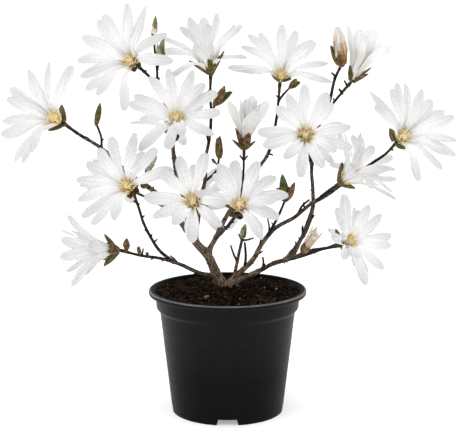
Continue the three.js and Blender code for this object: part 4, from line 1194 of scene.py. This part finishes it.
def addBud(scales, petals, joint, look, length, across, style, dice):
    axis, shape = look[0], budShape
    across *= style.get("stout", 1)
    length *= style.get("grow", 1)
    opening = style["coat"] == "opening"
    coreLook, coreLength, coat = (0, style["core"], []) if opening else coats[style["coat"]]
    spindle(scales, joint - axis, axis, length * coreLength, across * shape["coreRadius"], coreLook,
            shape["core"], sides=14)
    spindle(scales, joint - axis * shape["footDrop"], axis, shape["footLength"], across * shape["footRadius"],
            0, shape["foot"], sides=12)
    for k in range(style.get("petals", 0)):
        blade = plainBlade(360 / style["petals"] * k + style["roll"], style["splay"] + dice(-1.5, 1.5),
                           length * dice(*shape["petalLength"]), across * style["wide"],
                           across * shape["petalRoot"], 1, style["belly"], dice(-6, 2))
        blade = {**blade, "early": shape["early"], "point": style.get("point", shape["point"])}
        addTepal(petals, bladeLine(joint, look, blade), blade, dice, style["skins"][k % len(style["skins"])],
                 style["streaks"])

    def addOne(angle, spread, part, width, root, cup, *looks):
        blade = plainBlade(angle, spread, length * part, across * width, across * root, 0, cup)
        addScale(scales, bladeLine(joint, look, blade), blade, *looks)

    for k, (part, spread, outside) in enumerate(style.get("scales", [])):
        addOne(style["lean"] + shape["scaleStep"] * k, spread, part, shape["scaleWidth"], shape["scaleRoot"],
               shape["scaleCup"], outside, 2)
    for angle, spread, part, width, *looks in coat:
        addOne(angle, spread, part * shape["coatLength"], width * shape["coatWidth"], shape["coatRoot"],
               shape["coatCup"], *looks)


def addBloom(heaps, petals, limb, dice):
    bloom, name, joint = limb["bloom"], limb["name"], limb["route"].share(1.0)
    look = facing(bloom["turn"], bloom["lift"])
    corners = np.array([v.co[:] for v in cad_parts[massNode(limb)].data.vertices]) / mm
    closed = bloom["open"] < 40
    broad = tepal["closedWidth"] if closed else tepal["broad"].get(name, 1)
    kept = 0
    for k, blade in enumerate(bloomBlades(bloom)):
        blade["twist"] += tepal["turned"].get(name, {}).get(k, 0)
        line = fittedLine(joint, look, blade, corners)
        if line is None:
            continue
        kept += 1
        line = seated(line, joint, look, blade, bloom["open"])
        blade = {**blade, "inside": closed, "broad": broad}
        addTepal(petals, line, blade, dice, tepal["closed" if closed else "open"])
    found = bloomScales(bloom)
    found.append({**found[0], "angle": (found[0]["angle"] + found[1]["angle"]) / 2 + 180,
                  "length": scale["length"] * 0.8, "spread": found[0]["spread"] * 1.1})
    if name in flowerScales:
        found = [{**found[0], "angle": angle, "spread": spread, "length": scale["length"] * part,
                  "width": scale["width"] * wide, "rootHeight": scale["rootHeight"] - back}
                 for angle, spread, part, wide, back in flowerScales[name]]
    for k, blade in enumerate(found):
        addScale(heaps["scales"], bladeLine(joint, look, blade), blade, k % 2, 2)
    addHeart(heaps, joint, look, bloom["open"] < 60, heart["small"].get(name, 1), dice)
    return kept


def makeBlossom(grown):
    petals = {side: Heap() for side in ("left", "right", "back")}
    heaps = {kind: Heap() for kind in ("scales", "cores", "stamens", "styles")}
    owners = {side: [] for side in petals}
    kept = 0
    for index, limb in enumerate(limbs):
        dice = makeDice(tepal["seed"] + index)
        joint = limb["route"].share(1.0)
        side = "back" if limb["name"].startswith("back") else "left" if joint[0] < 0 else "right"
        if "bloom" in limb:
            owners[side].append(massNode(limb))
            kept += addBloom(heaps, petals[side], limb, dice)
            continue
        bud, style = limb["bud"], budLooks[limb["name"]]
        turn, lift = style.get("facing", (bud["turn"], bud["lift"]))
        look = facing(turn, lift)
        addBud(heaps["scales"], petals[side], joint, look, bud["length"], bud["across"], style, dice)
    for index, (name, at, reach, _, (turn, lift), length, across, coat) in enumerate(shoots):
        joint = grown[name]["route"].share(at) + np.array(reach, float)
        addBud(heaps["scales"], petals["left"], joint, facing(turn, lift), length, across, {"coat": coat},
               makeDice(tepal["budSeed"] + index))
    print(f"tepals kept: {kept}")
    dressBlossom(petals, heaps, owners)


def dressBlossom(petals, heaps, owners):
    whites = []
    for k, white in enumerate(tepal["whites"]):  # painted shade: greyer step by step towards the tip
        light = np.array([1.0, 0.995, 0.992 + 0.002 * k]) * white
        whites.append((f"tepal_white_{k + 1}", tuple(light), tuple(light * 0.92)))
    skins = [tepalMaterial(*row) for row in [
        # the foot and low skins: the tepal's own cream, made brighter as painted light against the shade
        # round the heart
        ("tepal_foot", (0.98, 0.87, 0.58), (0.96, 0.80, 0.46)),
        ("tepal_low", (0.98, 0.945, 0.83), (0.97, 0.915, 0.76)),
        *whites,
        ("tepal_cream", (0.90, 0.80, 0.66), (0.80, 0.66, 0.50)),
        ("tepal_blush", (0.66, 0.42, 0.23), (0.36, 0.18, 0.07)),
        ("tepal_pale", (0.90, 0.87, 0.82), (0.85, 0.80, 0.74)),
        ("tepal_tawny", (0.34, 0.17, 0.055), (0.16, 0.07, 0.02)),
        ("tepal_dusky", (0.70, 0.61, 0.54), (0.47, 0.38, 0.31)),
    ]]
    for side, heap in petals.items():
        dress(heap.build(f"tepals_{side}", skins, sharpAngle=60, markName="blade"), owners[side])

    fur = dict(shader={"Sheen Weight": 0.12, "Sheen Roughness": 0.45}, gloss=0.15, grain=260,
               rough=(0.7, 0.9), bumps=((1400, 0.6, 0.0004),))
    leafy = dict(shader={"Sheen Weight": 0.2}, places=(0.32, 0.52, 0.74), bumps=((1100, 0.5, 0.0003),))
    shells = materialSet([
        ("scale_brown", [(0.034, 0.018, 0.006), (0.130, 0.072, 0.028), (0.33, 0.215, 0.105)],
         dict(fur, places=(0.32, 0.50, 0.70))),
        ("scale_olive", [(0.032, 0.027, 0.006), (0.105, 0.09, 0.022), (0.24, 0.21, 0.07)],
         dict(fur, places=(0.32, 0.52, 0.74))),
        ("scale_lining", [(0.11, 0.085, 0.035), (0.25, 0.20, 0.095)],
         dict(rough=(0.45, 0.6), bumps=((900, 0.3, 0.0003),))),
        ("leaf_green", [(0.045, 0.06, 0.010), (0.12, 0.15, 0.035), (0.27, 0.30, 0.11)], leafy),
        ("bud_blush", [(0.66, 0.44, 0.35), (0.90, 0.80, 0.75)],
         dict(places=(0.35, 0.65), grain=200, bumps=((800, 0.3, 0.0003),))),
        ("leaf_pale", [(0.14, 0.16, 0.08), (0.30, 0.33, 0.20), (0.52, 0.54, 0.40)], leafy),
    ], grain=240)
    blooms = [name for side in owners.values() for name in side]
    buds = [limb["name"] for limb in limbs if "bud" in limb]
    dress(heaps["scales"].build("bud_scales", shells, sharpAngle=60), buds + blooms)
    cups = [shells[0], tepalMaterial("cup_cream", (0.94, 0.84, 0.58), (0.88, 0.74, 0.44)),
            tepalMaterial("cup_gold", (0.86, 0.64, 0.22), (0.66, 0.44, 0.12))]
    dress(heaps["cores"].build("flower_cups", cups, markName="blade"), blooms)

    pollen = {"Subsurface Weight": 0.35, "Subsurface Radius": (1.0, 0.7, 0.3), "Subsurface Scale": 0.002}
    gold = materialSet([
        ("stamen_gold", [(0.98, 0.66, 0.22), (0.99, 0.81, 0.41)]),
        ("stamen_amber", [(0.58, 0.28, 0.06), (0.90, 0.54, 0.18)]),
        ("stamen_straw", [(0.98, 0.80, 0.44), (0.99, 0.89, 0.63)]),
        ("stamen_tip", [(0.99, 0.85, 0.54), (0.99, 0.92, 0.74)]),
    ], bumps=((1500, 0.4, 0.0002),), shader=pollen)
    dress(heaps["stamens"].build("stamens", gold), blooms)
    green = materialSet([
        ("carpel_green", [(0.34, 0.28, 0.06), (0.66, 0.54, 0.18)]),
        ("carpel_tawny", [(0.42, 0.22, 0.05), (0.66, 0.42, 0.12)]),
    ], rough=(0.4, 0.6), bumps=((1500, 0.4, 0.0002),))
    dress(heaps["styles"].build("carpels", green), blooms)


setStudio()
makePot()
makeSoil()
grownLimbs = layOutLimbs()
makeWood(grownLimbs)
makeBlossom(grownLimbs)
